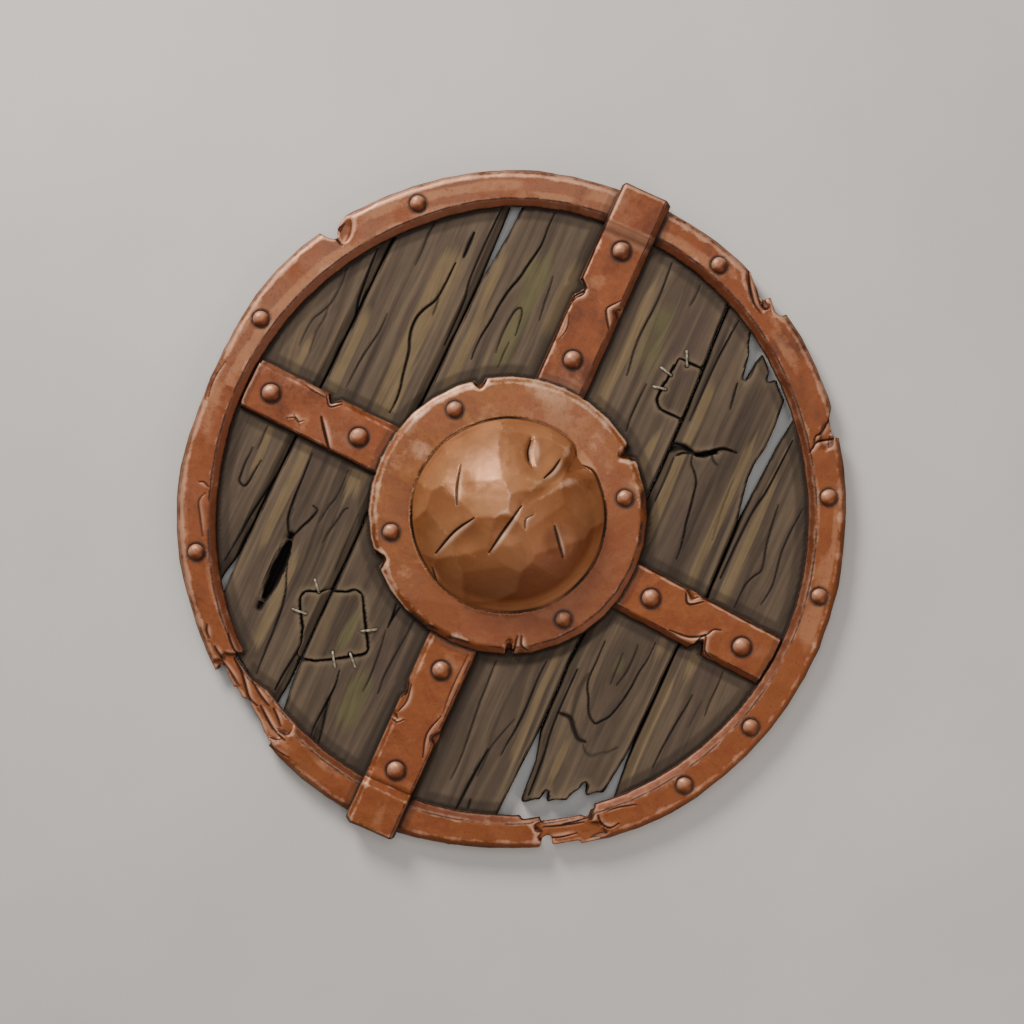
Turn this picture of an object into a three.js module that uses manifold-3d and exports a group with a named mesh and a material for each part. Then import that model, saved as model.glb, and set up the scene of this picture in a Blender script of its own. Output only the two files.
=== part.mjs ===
// A round hand shield, a buckler: six weathered boards bound by a beaten metal hoop, four straps and a
// domed boss.
// Millimetres. The grain runs along Y, the boss points along +Z and the flat back lies on Z = 0.

import * as THREE from "three";
import { mergeVertices } from "three/addons/utils/BufferGeometryUtils.js";
import Module from "manifold-3d";

const wasm = await Module();
wasm.setup();

// The beaten outline leans a little to one side of the circle that everything is laid out from.
const outlineMiddle = new THREE.Vector3(3.2, -1, 0);

// Boards
const boardThickness = 10;
const boardBevel = 5; // worn slope along a board's long edge
const boardBevelDrop = 2.6;
const boardPlainBevel = 1; // the other long edge, hardly worn
const boardSetback = 5.5; // from the hoop's outer edge in to the boards' ends
const handHoleRadius = 52;

// Hoop round the edge
const rimRadius = 200;
const rimWidth = 23;
const rimThickness = 5; // above the boards
const rimLip = 3; // wall turned down over the boards' ends
const rimInnerBevel = 5;
const rimOuterBevel = 3.5;
const rimBevelDrop = 2.6;
const rimJointGap = 0.8;
const strandDrop = 2.2; // how much lower the torn stretches lie

// Straps from the boss to the hoop
const strapWidth = 32;
const strapThickness = 4;
const strapShadeBevel = 3.6;
const strapLitBevel = 2;
const strapBevelDrop = 2.2;
const strapTuck = 18; // length under the boss's flange
const strapStepRun = 3.2; // in which a strap climbs to the hoop's inner edge
const strapStepEase = 1.5; // short of that edge, because the edge curves away from a straight fold
const strapTail = 4; // height above the back at which the folded end stops

// Boss
const bossCentre = new THREE.Vector2(0, -3);
const flangeRadius = 83;
const flangeThickness = 7.5;
const flangeBevel = 4.5;
const flangeBevelDrop = 2.2;
const domeRadius = 57.5;
const domeHeight = 38; // above the flange
const bossWall = 3;
const bossSides = 32;

// Nicks in the flange's edge, angles in degrees about the boss's axis.
const flangeNicks = [
  { angle: 125.5, width: 11, depth: 7 },
  { angle: 50.5, width: 13, depth: 9 },
  { angle: 222.5, width: 17, depth: 6.5 },
  { angle: 294.5, width: 4.5, depth: 13 },
];

// Dents in the dome: [x, y from the boss's axis, reach, depth]
const domeDents = [
  [4, 38, 15, 3.5],
  [-17, -24, 13, 2],
  [3, -8, 11, 1.8],
  [34, -2, 12, 2],
  [-33, 5, 11, 1.5],
  [28, 44, 12, 2.6],
];

// Rivets
const rimRivetHead = 4.9;
const strapRivetHead = 5.6;
const bossRivetHead = 5;
const rivetDome = 0.62; // height of a head as a share of its radius
const shankRadius = 2.6;
const tailRadius = 4;
const tailDepth = 1.6;
const bossRivetCircle = 69.8;
const rivetSides = 8;

// Grip
const gripReach = 86; // from the boss's axis to each end
const gripHalfWidth = 13;
const gripTabThickness = 5;
const gripHeight = 17;
const gripAngle = 32.2;

// Repairs
const patchDepth = 4;
const patchSeam = 0.5;
const stapleWire = 1.5;
const stapleRise = 1.1; // crown above the boards
const stapleLeg = 2.6; // depth in the wood

const fitGap = 0.3; // between pieces that meet
const sweepSteps = 66;

// Places on the face are given for a hoop of radius 200, and move out and in with it.
const spread = rimRadius / 200;
const radians = THREE.MathUtils.degToRad;

// How far the hammered hoop strays from round, at even angles from +X towards +Y.
const outerBeat = [1, -0.5, 0.8, 1.5, 1, 2.3, 0.8, -0.6, -5.5, -2, -1.5, 0.4, 2.8, 0.4, 3.5, 2.5];
const innerBeat = [1.5, -0.7, -1, 1, 1.8, 2.8, -1.2, -3.5, -4.5, -4, 0, 1.8, 2.8, 3.2, 3.5, 2.4];

// The two sides of each joint between boards, as [along the grain, across it] from top to bottom.
// The joint under the top and bottom straps is out of sight and straight.
const joints = [
  {
    left: [[210, -128.5], [120, -129.4], [70, -131], [20, -133], [-12, -134.4], [-60, -136.4],
      [-90, -137.2], [-104, -140.5], [-210, -143]],
    right: [[210, -127.7], [120, -128.6], [70, -130.2], [20, -132.2], [-12, -133.6], [-60, -135.6],
      [-90, -135.9], [-106, -135.8], [-210, -134]],
  },
  {
    left: [[210, -75], [165, -73.2], [118, -72], [100, -72.4], [20, -74.8], [-20, -76.6], [-130, -78.1],
      [-148, -78.6], [-160, -80], [-210, -82]],
    right: [[210, -64], [165, -66.6], [150, -67.4], [118, -71], [100, -71.6], [20, -74], [-20, -75.8],
      [-130, -77.1], [-148, -76.4], [-162, -74.6], [-210, -72]],
  },
  {
    left: [[210, -1.4], [-210, -1.4]],
    right: [[210, -0.6], [-210, -0.6]],
  },
  {
    left: [[210, 66.5], [163, 68.4], [130, 69.8], [100, 71.1], [60, 71.2], [-70, 68.3], [-112, 69],
      [-130, 68], [-165, 66.4], [-210, 65]],
    right: [[210, 67.6], [163, 69.6], [100, 72], [60, 72.2], [-70, 69.3], [-112, 70], [-120, 72.2],
      [-130, 74.8], [-155, 76.2], [-210, 77]],
  },
  {
    left: [[210, 124], [126, 122.2], [110, 123.6], [95, 123.4], [85, 121.5], [75, 121.5], [65, 123],
      [50, 125.9], [0, 127.3], [-34, 123.4], [-95, 122.8], [-107, 122], [-120, 120.2], [-130, 119],
      [-210, 112]],
    right: [[210, 137], [115, 132], [100, 130], [75, 128.5], [50, 126.9], [0, 128.2], [-34, 124.3],
      [-95, 123.8], [-107, 124.2], [-130, 126.2], [-210, 130]],
  },
];

const boardNames = [
  "board_far_left", "board_left", "board_inner_left", "board_inner_right", "board_right", "board_far_right",
];

// Wood that has broken away at both ends of the right board: everything outside these jagged lines.
const brokenEnds = [
  [[88, 210], [88, 153], [89.5, 148], [92, 143], [94, 130], [95, 106], [96.4, 125], [98, 140], [99.6, 146],
    [104, 141.5], [107, 138], [109, 128], [110.6, 133], [113, 135.5], [117, 130], [122, 126.6],
    [128.5, 124], [128.5, 210]],
  [[122.6, -210], [122.6, -129.5], [119.5, -130.5], [115, -132], [110, -136.8], [108, -130], [106.4, -127],
    [105, -134], [102, -139], [100.4, -144], [95, -145.6], [90, -149.5], [88, -134], [86, -149.5],
    [83, -151], [79, -154.5], [75.5, -155.6], [71.5, -156], [71.5, -210]],
];

// Rot has taken the boards' ends behind the torn stretch of the hoop: angles in degrees.
const rottenEnds = { from: -134, to: -106, cutBack: 16 };

// Splits and cracks in the boards' faces: a line, its widest gap, and its depth.
const cracks = [
  { line: [[-112.5, -66], [-112.3, -76], [-112, -87], [-112.4, -100], [-112.7, -112]], gap: 8, depth: 6 },
  { line: [[-104.6, -48], [-106.5, -54], [-108.8, -59], [-110.7, -69.5]], gap: 1.8, depth: 3 },
  { line: [[-121, -16], [-120, -40], [-118, -58], [-113, -67], [-110.5, -75]], gap: 1.8, depth: 4 },
  { line: [[-106.5, -86], [-101.5, -103], [-99.5, -125], [-98.7, -152]], gap: 1.5, depth: 3 },
  { line: [[70.5, 74], [78.6, 76], [88.5, 75.4], [94, 79], [101, 85], [108, 85.7]], gap: 2.8, depth: 6 },
  { line: [[86, 74], [91, 65], [95.8, 53], [98.7, 35], [102, 14]], gap: 1.6, depth: 4 },
  { line: [[-52.5, -128], [-52, -150], [-50.6, -172]], gap: 2.2, depth: 4 },
  { line: [[-38, -82], [-38.2, -95]], gap: 2.2, depth: 3 },
  {
    line: [[-89.3, 121], [-90, 100], [-96.5, 85], [-97, 75], [-93, 60], [-89.5, 40], [-88.8, 24]],
    gap: 1.7,
    depth: 3,
  },
  { line: [[-47.5, 172], [-47.5, 148], [-53.6, 119], [-57.6, 92], [-57.5, 73]], gap: 1.6, depth: 3 },
  {
    line: [[83, -48], [83.3, -72], [90, -88], [97.5, -95], [104, -87], [108.5, -66], [110.8, -37]],
    gap: 1.5,
    depth: 3,
  },
];

// Inlaid patches: outlines run past the board's edge where a patch ends at a joint.
const patches = [
  {
    name: "patch_upper",
    board: 3,
    outline: [[55, 124], [52.8, 103], [52.5, 96], [54.5, 92.6], [58, 91], [76, 90.5], [76, 123],
      [60, 123.4]],
  },
  {
    name: "patch_lower_left",
    board: 1,
    outline: [[-93, -97], [-90, -104], [-84, -113.5], [-81.4, -122], [-80.6, -131], [-72, -131], [-72, -85],
      [-79, -86], [-83, -89.8], [-91.5, -93]],
  },
  {
    name: "patch_lower_right",
    board: 2,
    outline: [[-82, -131.5], [-70, -129], [-60, -123.5], [-50, -117], [-44, -113], [-43, -110], [-50, -98],
      [-60, -81], [-65, -80], [-68, -83], [-75, -86], [-82, -86]],
  },
];

// Wire staples over the patches' seams: both ends of each crown.
const staples = [
  [[57.4, 129], [61, 121]],
  [[47.4, 114], [54.6, 112.2]],
  [[48, 101.8], [55, 103.3]],
  [[-89, -84.6], [-84, -90.4]],
  [[-94, -106], [-86, -105.2]],
  [[-51.5, -101.5], [-44, -96.8]],
  [[-62, -119.6], [-57, -127.2]],
  [[-52, -116.2], [-46, -122.4]],
];

// Straps: both ends of each centre line, whether it folds over the hoop, and where it was struck.
// The first rivet is given out from the flange's edge and the second in from the hoop's.
// A nick is [distance out, depth, width, +1 left or -1 right of the way out, share of thickness].
const straps = [
  {
    name: "strap_top", from: [-2.4, 60], to: [-2, 200], over: true, rivets: [13.5, 11.8],
    nicks: [[136.5, 7, 17, 1, 1], [132, 6.5, 17, -1, 0.6]],
  },
  {
    name: "strap_left", from: [-60, 1.4], to: [-172, 6.6], over: false, rivets: [16.5, 15],
    nicks: [[122, 6.6, 14, -1, 1], [146, 2, 22, -1, 0.6]],
  },
  {
    name: "strap_bottom", from: [1.6, -60], to: [0.6, -200], over: true, rivets: [20, 11.8],
    nicks: [[140, 6, 17, 1, 0.6], [139, 6, 13, -1, 0.6], [121, 3, 24, -1, 1]],
  },
  {
    name: "strap_right", from: [60, -11], to: [178, -19.3], over: false, rivets: [15, 19.8],
    nicks: [[135.5, 9.5, 13, -1, 1], [118, 6, 16, 1, 0.6]],
  },
];

// Rivets through the hoop, in degrees from +X towards +Y.
const rimRivetAngles = [8.5, 26.4, 73.6, 130.7, 166.4, 211.5, 326.4, 342];
const bossRivetAngles = [gripAngle, 140.7, gripAngle + 180, 322];

// Where the hoop is torn from outside, and the boards' ends with it.
const outerTears = [
  // Blow at the upper left
  [[-168.5, 104.6], [-163, 104], [-158, 106], [-160.6, 108.6], [-161.6, 112], [-160.4, 119], [-170, 127],
    [-186, 112]],
  // Ragged edge at the upper right
  [[70.5, 192], [75, 185], [80, 180.5], [84.5, 175.6], [86.5, 175.2], [89.6, 178.6], [92.4, 175.4],
    [95.5, 172], [98.5, 170.6], [101, 171.4], [102.4, 175], [110, 184], [84, 200]],
  // Broken corner beside the hoop's joint
  [[149.6, 133], [150.8, 126], [154, 122.4], [156.4, 118.4], [161, 119], [172, 126], [158, 142]],
  // Outside of the long tear at the lower left
  [[-121, -158.4], [-119.6, -156], [-120.4, -152.4], [-117, -153], [-113, -157.4], [-107, -162.6],
    [-105.5, -161.2], [-100, -166.4], [-96, -165.4], [-90, -170.8], [-85, -174.2], [-80, -179.6],
    [-71.5, -184.4], [-77.4, -185.8], [-84, -206], [-140, -176]],
  // Outside of the short tear at the bottom
  [[97.5, -172.4], [96.6, -168.8], [99, -166.8], [102.6, -166.6], [101.6, -169.2], [103.6, -171.2],
    [110, -167], [117, -162.4], [123, -158], [118.6, -164], [117.4, -167], [122, -186], [100, -192]],
];

// Where the same two tears have eaten into the hoop from inside.
const innerTears = [
  [[-109.4, -140], [-110.4, -142.4], [-115, -143.4], [-107, -149], [-98, -153.6], [-86, -155.6],
    [-82, -140], [-98, -126]],
  [[78.4, -160], [80, -164.2], [82.4, -163], [90, -158], [91.6, -160.2], [97, -157], [104, -152.4],
    [112, -147], [115.6, -147.6], [115.4, -142.6], [117.4, -140], [100, -126], [84, -140]],
];

// Stretches where only torn strands of the hoop's metal are left, lying lower than the rest.
const strandZones = [
  [[-123, -160], [-124.6, -152.6], [-119.6, -149.6], [-121.4, -146], [-114.6, -144.4], [-109, -140],
    [-80, -140], [-64.6, -169], [-66, -174.8], [-74.4, -175.4], [-66, -178.8], [-77, -181.4],
    [-71.4, -184.8], [-84, -206], [-126, -184]],
  [[92, -150], [91.4, -160.4], [88, -165.4], [94.6, -166.4], [93.4, -170.6], [98.4, -171.4], [104, -190],
    [122, -186], [117.4, -166.6], [123, -158.6], [133.4, -148], [127.4, -150.4], [126, -146.4],
    [118.4, -149], [117, -141], [104, -136]],
];

// Grooves between the strands: a line and its width.
const strandGrooves = [
  { line: [[-121, -145.5], [-108, -157], [-92, -167.4], [-72, -177]], gap: 1.7 },
  { line: [[-112, -145.5], [-98, -157], [-84, -166], [-70, -173]], gap: 1.6 },
  { line: [[-92, -155.4], [-80, -163.4], [-69, -169.4]], gap: 1.3 },
  { line: [[94, -163.4], [107, -156], [122, -147.4]], gap: 1.6 },
  { line: [[100, -165.6], [112, -158.8], [130, -149]], gap: 1.5 },
];

// Soft blows that left the top face dished: [x, y, half length, half width, angle]
const rimDents = [
  [-157, 112, 9, 4.4, 100],
  [80, 178, 15, 4.6, -48],
  [153.4, 117, 9, 4.4, 104],
];

// Point given along and across a direction at an angle in degrees.
function turned(out, across, degrees) {
  return new THREE.Vector2(out, across).rotateAround(new THREE.Vector2(), radians(degrees));
}

function place([x, y]) {
  return new THREE.Vector2(x * spread, y * spread);
}

// Smooth value at an angle from a list given at even angles.
function wave(list, angle) {
  const turn = (((angle / (2 * Math.PI)) % 1) + 1) % 1;
  const at = turn * list.length;
  const step = Math.floor(at);
  const [before, start, end, after] = [-1, 0, 1, 2]
    .map((k) => list[(step + k + list.length) % list.length]);
  const t = at - step;
  return start + 0.5 * t * (end - before + t * (2 * before - 5 * start + 4 * end - after
    + t * (3 * (start - end) + after - before)));
}

const outerRadius = (angle) => rimRadius + wave(outerBeat, angle);
const innerRadius = (angle) => rimRadius - rimWidth + wave(innerBeat, angle);

// Value on a polyline of [position, value] pairs that runs from high positions to low ones.
function along(line, position) {
  const next = line.findIndex(([at]) => at * spread <= position);
  if (next === 0) return line[0][1] * spread;
  if (next < 0) return line.at(-1)[1] * spread;
  const [[a, valueA], [b, valueB]] = [line[next - 1], line[next]];
  const t = (a * spread - position) / (a * spread - b * spread);
  return (valueA + (valueB - valueA) * t) * spread;
}

// Closed skin over rings of points. Each ring turns anticlockwise seen from the next ring's side.
function loft(rings, isLoop = false) {
  const size = rings[0].length;
  const index = [];
  const last = isLoop ? rings.length : rings.length - 1;
  for (let i = 0; i < last; i++) {
    for (let j = 0; j < size; j++) {
      const here = i * size;
      const there = ((i + 1) % rings.length) * size;
      const next = (j + 1) % size;
      index.push(here + j, here + next, there + next, here + j, there + next, there + j);
    }
  }
  if (!isLoop) {
    const end = (rings.length - 1) * size;
    for (const [a, b, c] of capTriangles(rings[0])) index.push(a, c, b);
    for (const [a, b, c] of capTriangles(rings.at(-1))) index.push(end + a, end + b, end + c);
  }
  const geometry = new THREE.BufferGeometry().setFromPoints(rings.flat());
  geometry.setIndex(index);
  return geometry;
}

// Triangles of a flat ring, in the ring's own sense.
function capTriangles(ring) {
  const normal = new THREE.Vector3();
  ring.forEach((point, j) => normal.add(point.clone().cross(ring[(j + 1) % ring.length])));
  const turn = new THREE.Quaternion().setFromUnitVectors(normal.normalize(), new THREE.Vector3(0, 0, 1));
  const flat = ring.map((point) => point.clone().applyQuaternion(turn));
  return THREE.ShapeUtils.triangulateShape(flat.map((point) => new THREE.Vector2(point.x, point.y)), []);
}

function toSolid(geometry) {
  const bare = geometry.clone();
  bare.deleteAttribute("normal");
  bare.deleteAttribute("uv");
  const merged = mergeVertices(bare);
  return new wasm.Manifold(new wasm.Mesh({
    numProp: 3,
    vertProperties: merged.getAttribute("position").array,
    triVerts: Uint32Array.from(merged.getIndex().array),
  }));
}

function toGeometry(solid) {
  const mesh = solid.getMesh();
  const geometry = new THREE.BufferGeometry();
  geometry.setAttribute("position", new THREE.BufferAttribute(Float32Array.from(mesh.vertProperties), 3));
  geometry.setIndex(new THREE.BufferAttribute(Uint32Array.from(mesh.triVerts), 1));
  geometry.computeVertexNormals();
  return geometry;
}

function joinAll(solids) {
  return solids.reduce((whole, solid) => whole.add(solid));
}

// Upright prism over an outline, between two heights.
function prism(points, low, high) {
  const shape = new THREE.Shape(points);
  const geometry = new THREE.ExtrudeGeometry(shape, { depth: high - low, bevelEnabled: false });
  return toSolid(geometry.translate(0, 0, low));
}

// Upright disc whose radius is a function of the angle.
function disc(radiusAt, low, high) {
  const points = [];
  for (let i = 0; i < sweepSteps; i++) {
    const angle = (i / sweepSteps) * 2 * Math.PI;
    points.push(new THREE.Vector2(Math.cos(angle), Math.sin(angle)).multiplyScalar(radiusAt(angle)));
  }
  return prism(points, low, high);
}

// Leaf-shaped sliver along a line, widest in the middle, as a cutter.
function sliver(line, gap, low, high) {
  const points = line.map(place);
  const total = points.length - 1;
  const sides = [[], []];
  points.forEach((point, i) => {
    const before = points[Math.max(0, i - 1)];
    const after = points[Math.min(total, i + 1)];
    const across = after.clone().sub(before).normalize().rotateAround(new THREE.Vector2(), Math.PI / 2);
    const half = (gap / 2) * Math.max(0.12, Math.sin((i / total) * Math.PI) ** 0.7);
    sides[0].push(point.clone().addScaledVector(across, -half));
    sides[1].unshift(point.clone().addScaledVector(across, half));
  });
  return prism(sides.flat(), low, high);
}

// Boss, or a piece of its outline, moved from its own axis to its place on the face.
function atBoss(geometry) {
  return geometry.translate(bossCentre.x, bossCentre.y, 0);
}

const upright = (radius, low, high, sides, centre) => toSolid(
  new THREE.CylinderGeometry(radius, radius, high - low, sides)
    .rotateX(Math.PI / 2)
    .translate(centre.x, centre.y, (low + high) / 2),
);

// Rivet with a domed head above `seat` and a flush tail on the back. With ease it is the hole's cutter.
function rivetGeometry(at, seat, headRadius, ease = 0) {
  const profile = [[0, -ease], [tailRadius + ease, -ease], [shankRadius + ease, tailDepth + ease]];
  if (ease) {
    profile.push([shankRadius + ease, seat + headRadius], [0, seat + headRadius]);
  } else {
    const rise = headRadius * rivetDome;
    profile.push([shankRadius, seat], [headRadius, seat]);
    profile.push([headRadius * 0.7, seat + rise * 0.75], [0, seat + rise]);
  }
  const points = profile.map(([radius, height]) => new THREE.Vector2(radius, height));
  return new THREE.LatheGeometry(points, rivetSides).rotateX(Math.PI / 2).translate(at.x, at.y, 0);
}

// Every rivet's place, seat height and head size.
function rivetPlan() {
  const rimSeat = boardThickness + rimThickness;
  const onRim = rimRivetAngles.map((degrees, i) => {
    const angle = radians(degrees);
    const flatMiddle = (innerRadius(angle) + rimInnerBevel + outerRadius(angle) - rimOuterBevel) / 2;
    return {
      name: `rivet_rim_${i + 1}`,
      at: new THREE.Vector2(Math.cos(angle), Math.sin(angle)).multiplyScalar(flatMiddle),
      seat: rimSeat,
      head: rimRivetHead,
    };
  });
  const onStraps = straps.flatMap((strap) => {
    const hoopEdge = innerRadius(strapAngle(strap));
    return [flangeRadius + strap.rivets[0], hoopEdge - strap.rivets[1]].map((distance, i) => ({
      name: `rivet_${strap.name}_${i + 1}`,
      at: strapPoint(strap, distance),
      seat: boardThickness + strapThickness,
      head: strapRivetHead,
    }));
  });
  const onBoss = bossRivetAngles.map((degrees, i) => ({
    name: `rivet_boss_${i + 1}`,
    at: turned(bossRivetCircle, 0, degrees).add(bossCentre),
    seat: boardThickness + flangeThickness,
    head: bossRivetHead,
  }));
  return [...onRim, ...onStraps, ...onBoss];
}

// A strap's own axes: out along its centre line from the foot of the origin, and to the left of the way out.
function strapAxes(strap) {
  const start = place(strap.from);
  const out = place(strap.to).sub(start).normalize();
  const left = new THREE.Vector2(-out.y, out.x);
  const foot = left.clone().multiplyScalar(start.dot(left));
  return { out, left, foot };
}

function strapAngle(strap) {
  const { out } = strapAxes(strap);
  return Math.atan2(out.y, out.x);
}

function strapPoint(strap, distance, offset = 0) {
  const { out, left, foot } = strapAxes(strap);
  return foot.clone().addScaledVector(out, distance).addScaledVector(left, offset);
}

// Side view of a strap as [distance, height] pairs: out along the top, back along the bottom.
function strapSide(strap, thinned) {
  const angle = strapAngle(strap);
  const start = flangeRadius - strapTuck;
  const bottom = boardThickness;
  const thickness = strapThickness - thinned;
  if (!strap.over) {
    const end = innerRadius(angle) + rimInnerBevel;
    return [[start, bottom], [start, bottom + thickness], [end, bottom + thickness], [end, bottom]];
  }
  // The strap climbs to the hoop's inner edge, then up its worn slope
  const sill = rimThickness - rimBevelDrop + fitGap;
  const shelf = rimThickness + fitGap;
  const inner = innerRadius(angle) - strapStepEase;
  const foot = inner - strapStepRun;
  const crest = inner + rimInnerBevel;
  const edge = outerRadius(angle) + fitGap;
  const corner = strapThickness / 2;
  const top = bottom + thickness;
  return [
    [start, bottom], [start, top], [foot - 1, top], [inner - 1, top + sill], [crest - 1, top + shelf],
    [edge + thickness - corner, top + shelf], [edge + thickness, top + shelf - corner],
    [edge + thickness, strapTail], [edge, strapTail],
    [edge, bottom + shelf], [crest, bottom + shelf], [inner, bottom + sill], [foot, bottom],
  ];
}

// Nick in a strap's edge: a wedge that is wider at the top than at the boards.
function nickCutter(strap, [distance, depth, width, side, share]) {
  const top = boardThickness + strapThickness;
  const low = top - strapThickness * share - (share === 1 ? 1 : 0);
  const high = top + 1;
  const edge = strapWidth / 2 + 1;
  const rings = [[low, 0.55], [high, 1.15]].map(([height, grow]) => {
    const half = width * grow / 2;
    const corners = [[-half, edge], [width * 0.1, edge - 1 - depth * grow], [half, edge]];
    const ring = corners.map(([run, across]) => strapPoint(strap, distance * spread + run, across * side));
    if (side < 0) ring.reverse();
    return ring.map((point) => new THREE.Vector3(point.x, point.y, height));
  });
  return toSolid(loft(rings));
}

function strapSolid(strap) {
  const half = strapWidth / 2;
  const stations = [
    [-half, strapBevelDrop], [-half + strapShadeBevel, 0], [half - strapLitBevel, 0],
    [half, strapBevelDrop],
  ];
  const rings = stations.map(([offset, thinned]) => strapSide(strap, thinned).map(([distance, height]) => {
    const point = strapPoint(strap, distance, offset);
    return new THREE.Vector3(point.x, point.y, height);
  }));
  const whole = toSolid(loft(rings));
  const fitted = strap.over ? whole : whole.intersect(insideHoop);
  return fitted.subtract(joinAll(strap.nicks.map((nick) => nickCutter(strap, nick)))).subtract(rivetHoles);
}

// The room that a strap's inner end takes under the flange.
function strapPocket(strap) {
  const half = strapWidth / 2 + fitGap;
  const corners = [[flangeRadius - strapTuck - fitGap, -half], [flangeRadius + strapTuck, -half],
    [flangeRadius + strapTuck, half], [flangeRadius - strapTuck - fitGap, half]];
  const points = corners.map(([distance, offset]) => strapPoint(strap, distance, offset));
  return prism(points, boardThickness - 1, boardThickness + strapThickness + fitGap);
}

function boardSolid(number) {
  const leftLine = number > 0 ? joints[number - 1].right : [[210, -210], [-210, -210]];
  const rightLine = number < joints.length ? joints[number].left : [[210, 210], [-210, 210]];
  const leftBevel = number > 3 ? boardBevel : boardPlainBevel;
  const rightBevel = number < 2 ? boardBevel : boardPlainBevel;
  const drop = (bevel) => (bevel === boardBevel ? boardBevelDrop : boardPlainBevel);
  const stops = new Set([...leftLine, ...rightLine].map(([at]) => at * spread));
  const rings = [...stops].sort((a, b) => a - b).map((at) => {
    const left = along(leftLine, at);
    const right = along(rightLine, at);
    const section = [
      [left, 0], [left, boardThickness - drop(leftBevel)], [left + leftBevel, boardThickness],
      [right - rightBevel, boardThickness], [right, boardThickness - drop(rightBevel)], [right, 0],
    ];
    return section.map(([x, z]) => new THREE.Vector3(x, at, z));
  });
  return toSolid(loft(rings)).intersect(insideLip);
}

// Prism over a patch's outline, drawn in by the seam.
function patchPrism(patch, seam) {
  const points = patch.outline.map(place);
  const middle = new THREE.Vector2();
  points.forEach((point) => middle.addScaledVector(point, 1 / points.length));
  const drawnIn = points.map((point) => point.clone().sub(middle)
    .setLength(point.distanceTo(middle) - seam).add(middle));
  return prism(drawnIn, boardThickness - patchDepth, boardThickness + 1);
}

// Staple of square wire, or with ease the slot for its legs.
function stapleGeometry([from, to], ease = 0) {
  const [start, end] = [place(from), place(to)];
  const run = end.clone().sub(start).normalize();
  const side = run.clone().rotateAround(new THREE.Vector2(), Math.PI / 2);
  const half = stapleWire / 2 + ease;
  const low = boardThickness - stapleLeg - ease;
  const high = boardThickness + stapleRise;
  const length = end.distanceTo(start);
  const outline = [
    [-half, low], [stapleWire / 2 + ease, low], [stapleWire / 2 + ease, high - stapleWire / 2],
    [length / 2, high - stapleWire / 4], [length - stapleWire / 2 - ease, high - stapleWire / 2],
    [length - stapleWire / 2 - ease, low], [length + half, low], [length + half, high - stapleWire / 2],
    [length - half, high], [length / 2, high + stapleWire / 3], [half, high],
    [-half, high - stapleWire / 2],
  ];
  const rings = [-half, half].map((across) => outline.map(([distance, height]) => {
    const point = start.clone().addScaledVector(run, distance).addScaledVector(side, across);
    return new THREE.Vector3(point.x, point.y, height);
  }).reverse());
  return loft(rings);
}

function rimSolid() {
  const top = boardThickness + rimThickness;
  const rings = [];
  for (let i = 0; i < sweepSteps; i++) {
    const angle = (i / sweepSteps) * 2 * Math.PI;
    const inner = innerRadius(angle);
    const outer = outerRadius(angle);
    const section = [
      [inner, boardThickness], [outer - rimLip, boardThickness], [outer - rimLip, 0], [outer, 0],
      [outer, top - rimBevelDrop], [outer - rimOuterBevel, top], [inner + rimInnerBevel, top],
      [inner, top - rimBevelDrop],
    ];
    rings.push(section.map(([radius, height]) => new THREE.Vector3(
      radius * Math.cos(angle), radius * Math.sin(angle), height,
    )).reverse());
  }
  const hoop = toSolid(loft(rings, true)).subtract(rivetHoles).subtract(allTears);
  const jointLine = [[139, 97], [152.5, 108.6], [166, 120.2]].map(place);
  const across = jointLine[2].clone().sub(jointLine[0]).normalize().multiplyScalar(rimJointGap / 2);
  across.rotateAround(new THREE.Vector2(), Math.PI / 2);
  const corners = [jointLine[0].clone().sub(across), jointLine[2].clone().sub(across),
    jointLine[2].clone().add(across), jointLine[0].clone().add(across)];
  const joint = prism(corners, -1, top + 1);
  const lowered = strandZones.map((zone) => prism(zone.map(place), top - strandDrop, top + 1));
  const grooves = strandGrooves.map(({ line, gap }) => sliver(line, gap, boardThickness + 1.6, top + 1));
  const dents = rimDents.map(([x, y, long, wide, degrees]) => toSolid(
    new THREE.SphereGeometry(1, 10, 6)
      .scale(long, wide, rimBevelDrop)
      .rotateZ(radians(degrees))
      .translate(x * spread, y * spread, top),
  ));
  return hoop.subtract(joinAll([joint, ...lowered, ...grooves, ...dents]));
}

function beatDome(geometry) {
  const position = geometry.getAttribute("position");
  const point = new THREE.Vector3();
  for (let i = 0; i < position.count; i++) {
    point.fromBufferAttribute(position, i);
    const radius = Math.hypot(point.x, point.y);
    if (radius > domeRadius - 1 || point.z < boardThickness + flangeThickness + 1) continue;
    for (const [x, y, reach, depth] of domeDents) {
      const near = Math.max(0, 1 - Math.hypot(point.x - x, point.y - y) / reach);
      const press = depth * near * near * (3 - 2 * near);
      point.z -= press;
    }
    position.setXYZ(i, point.x, point.y, point.z);
  }
  return geometry;
}

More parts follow.
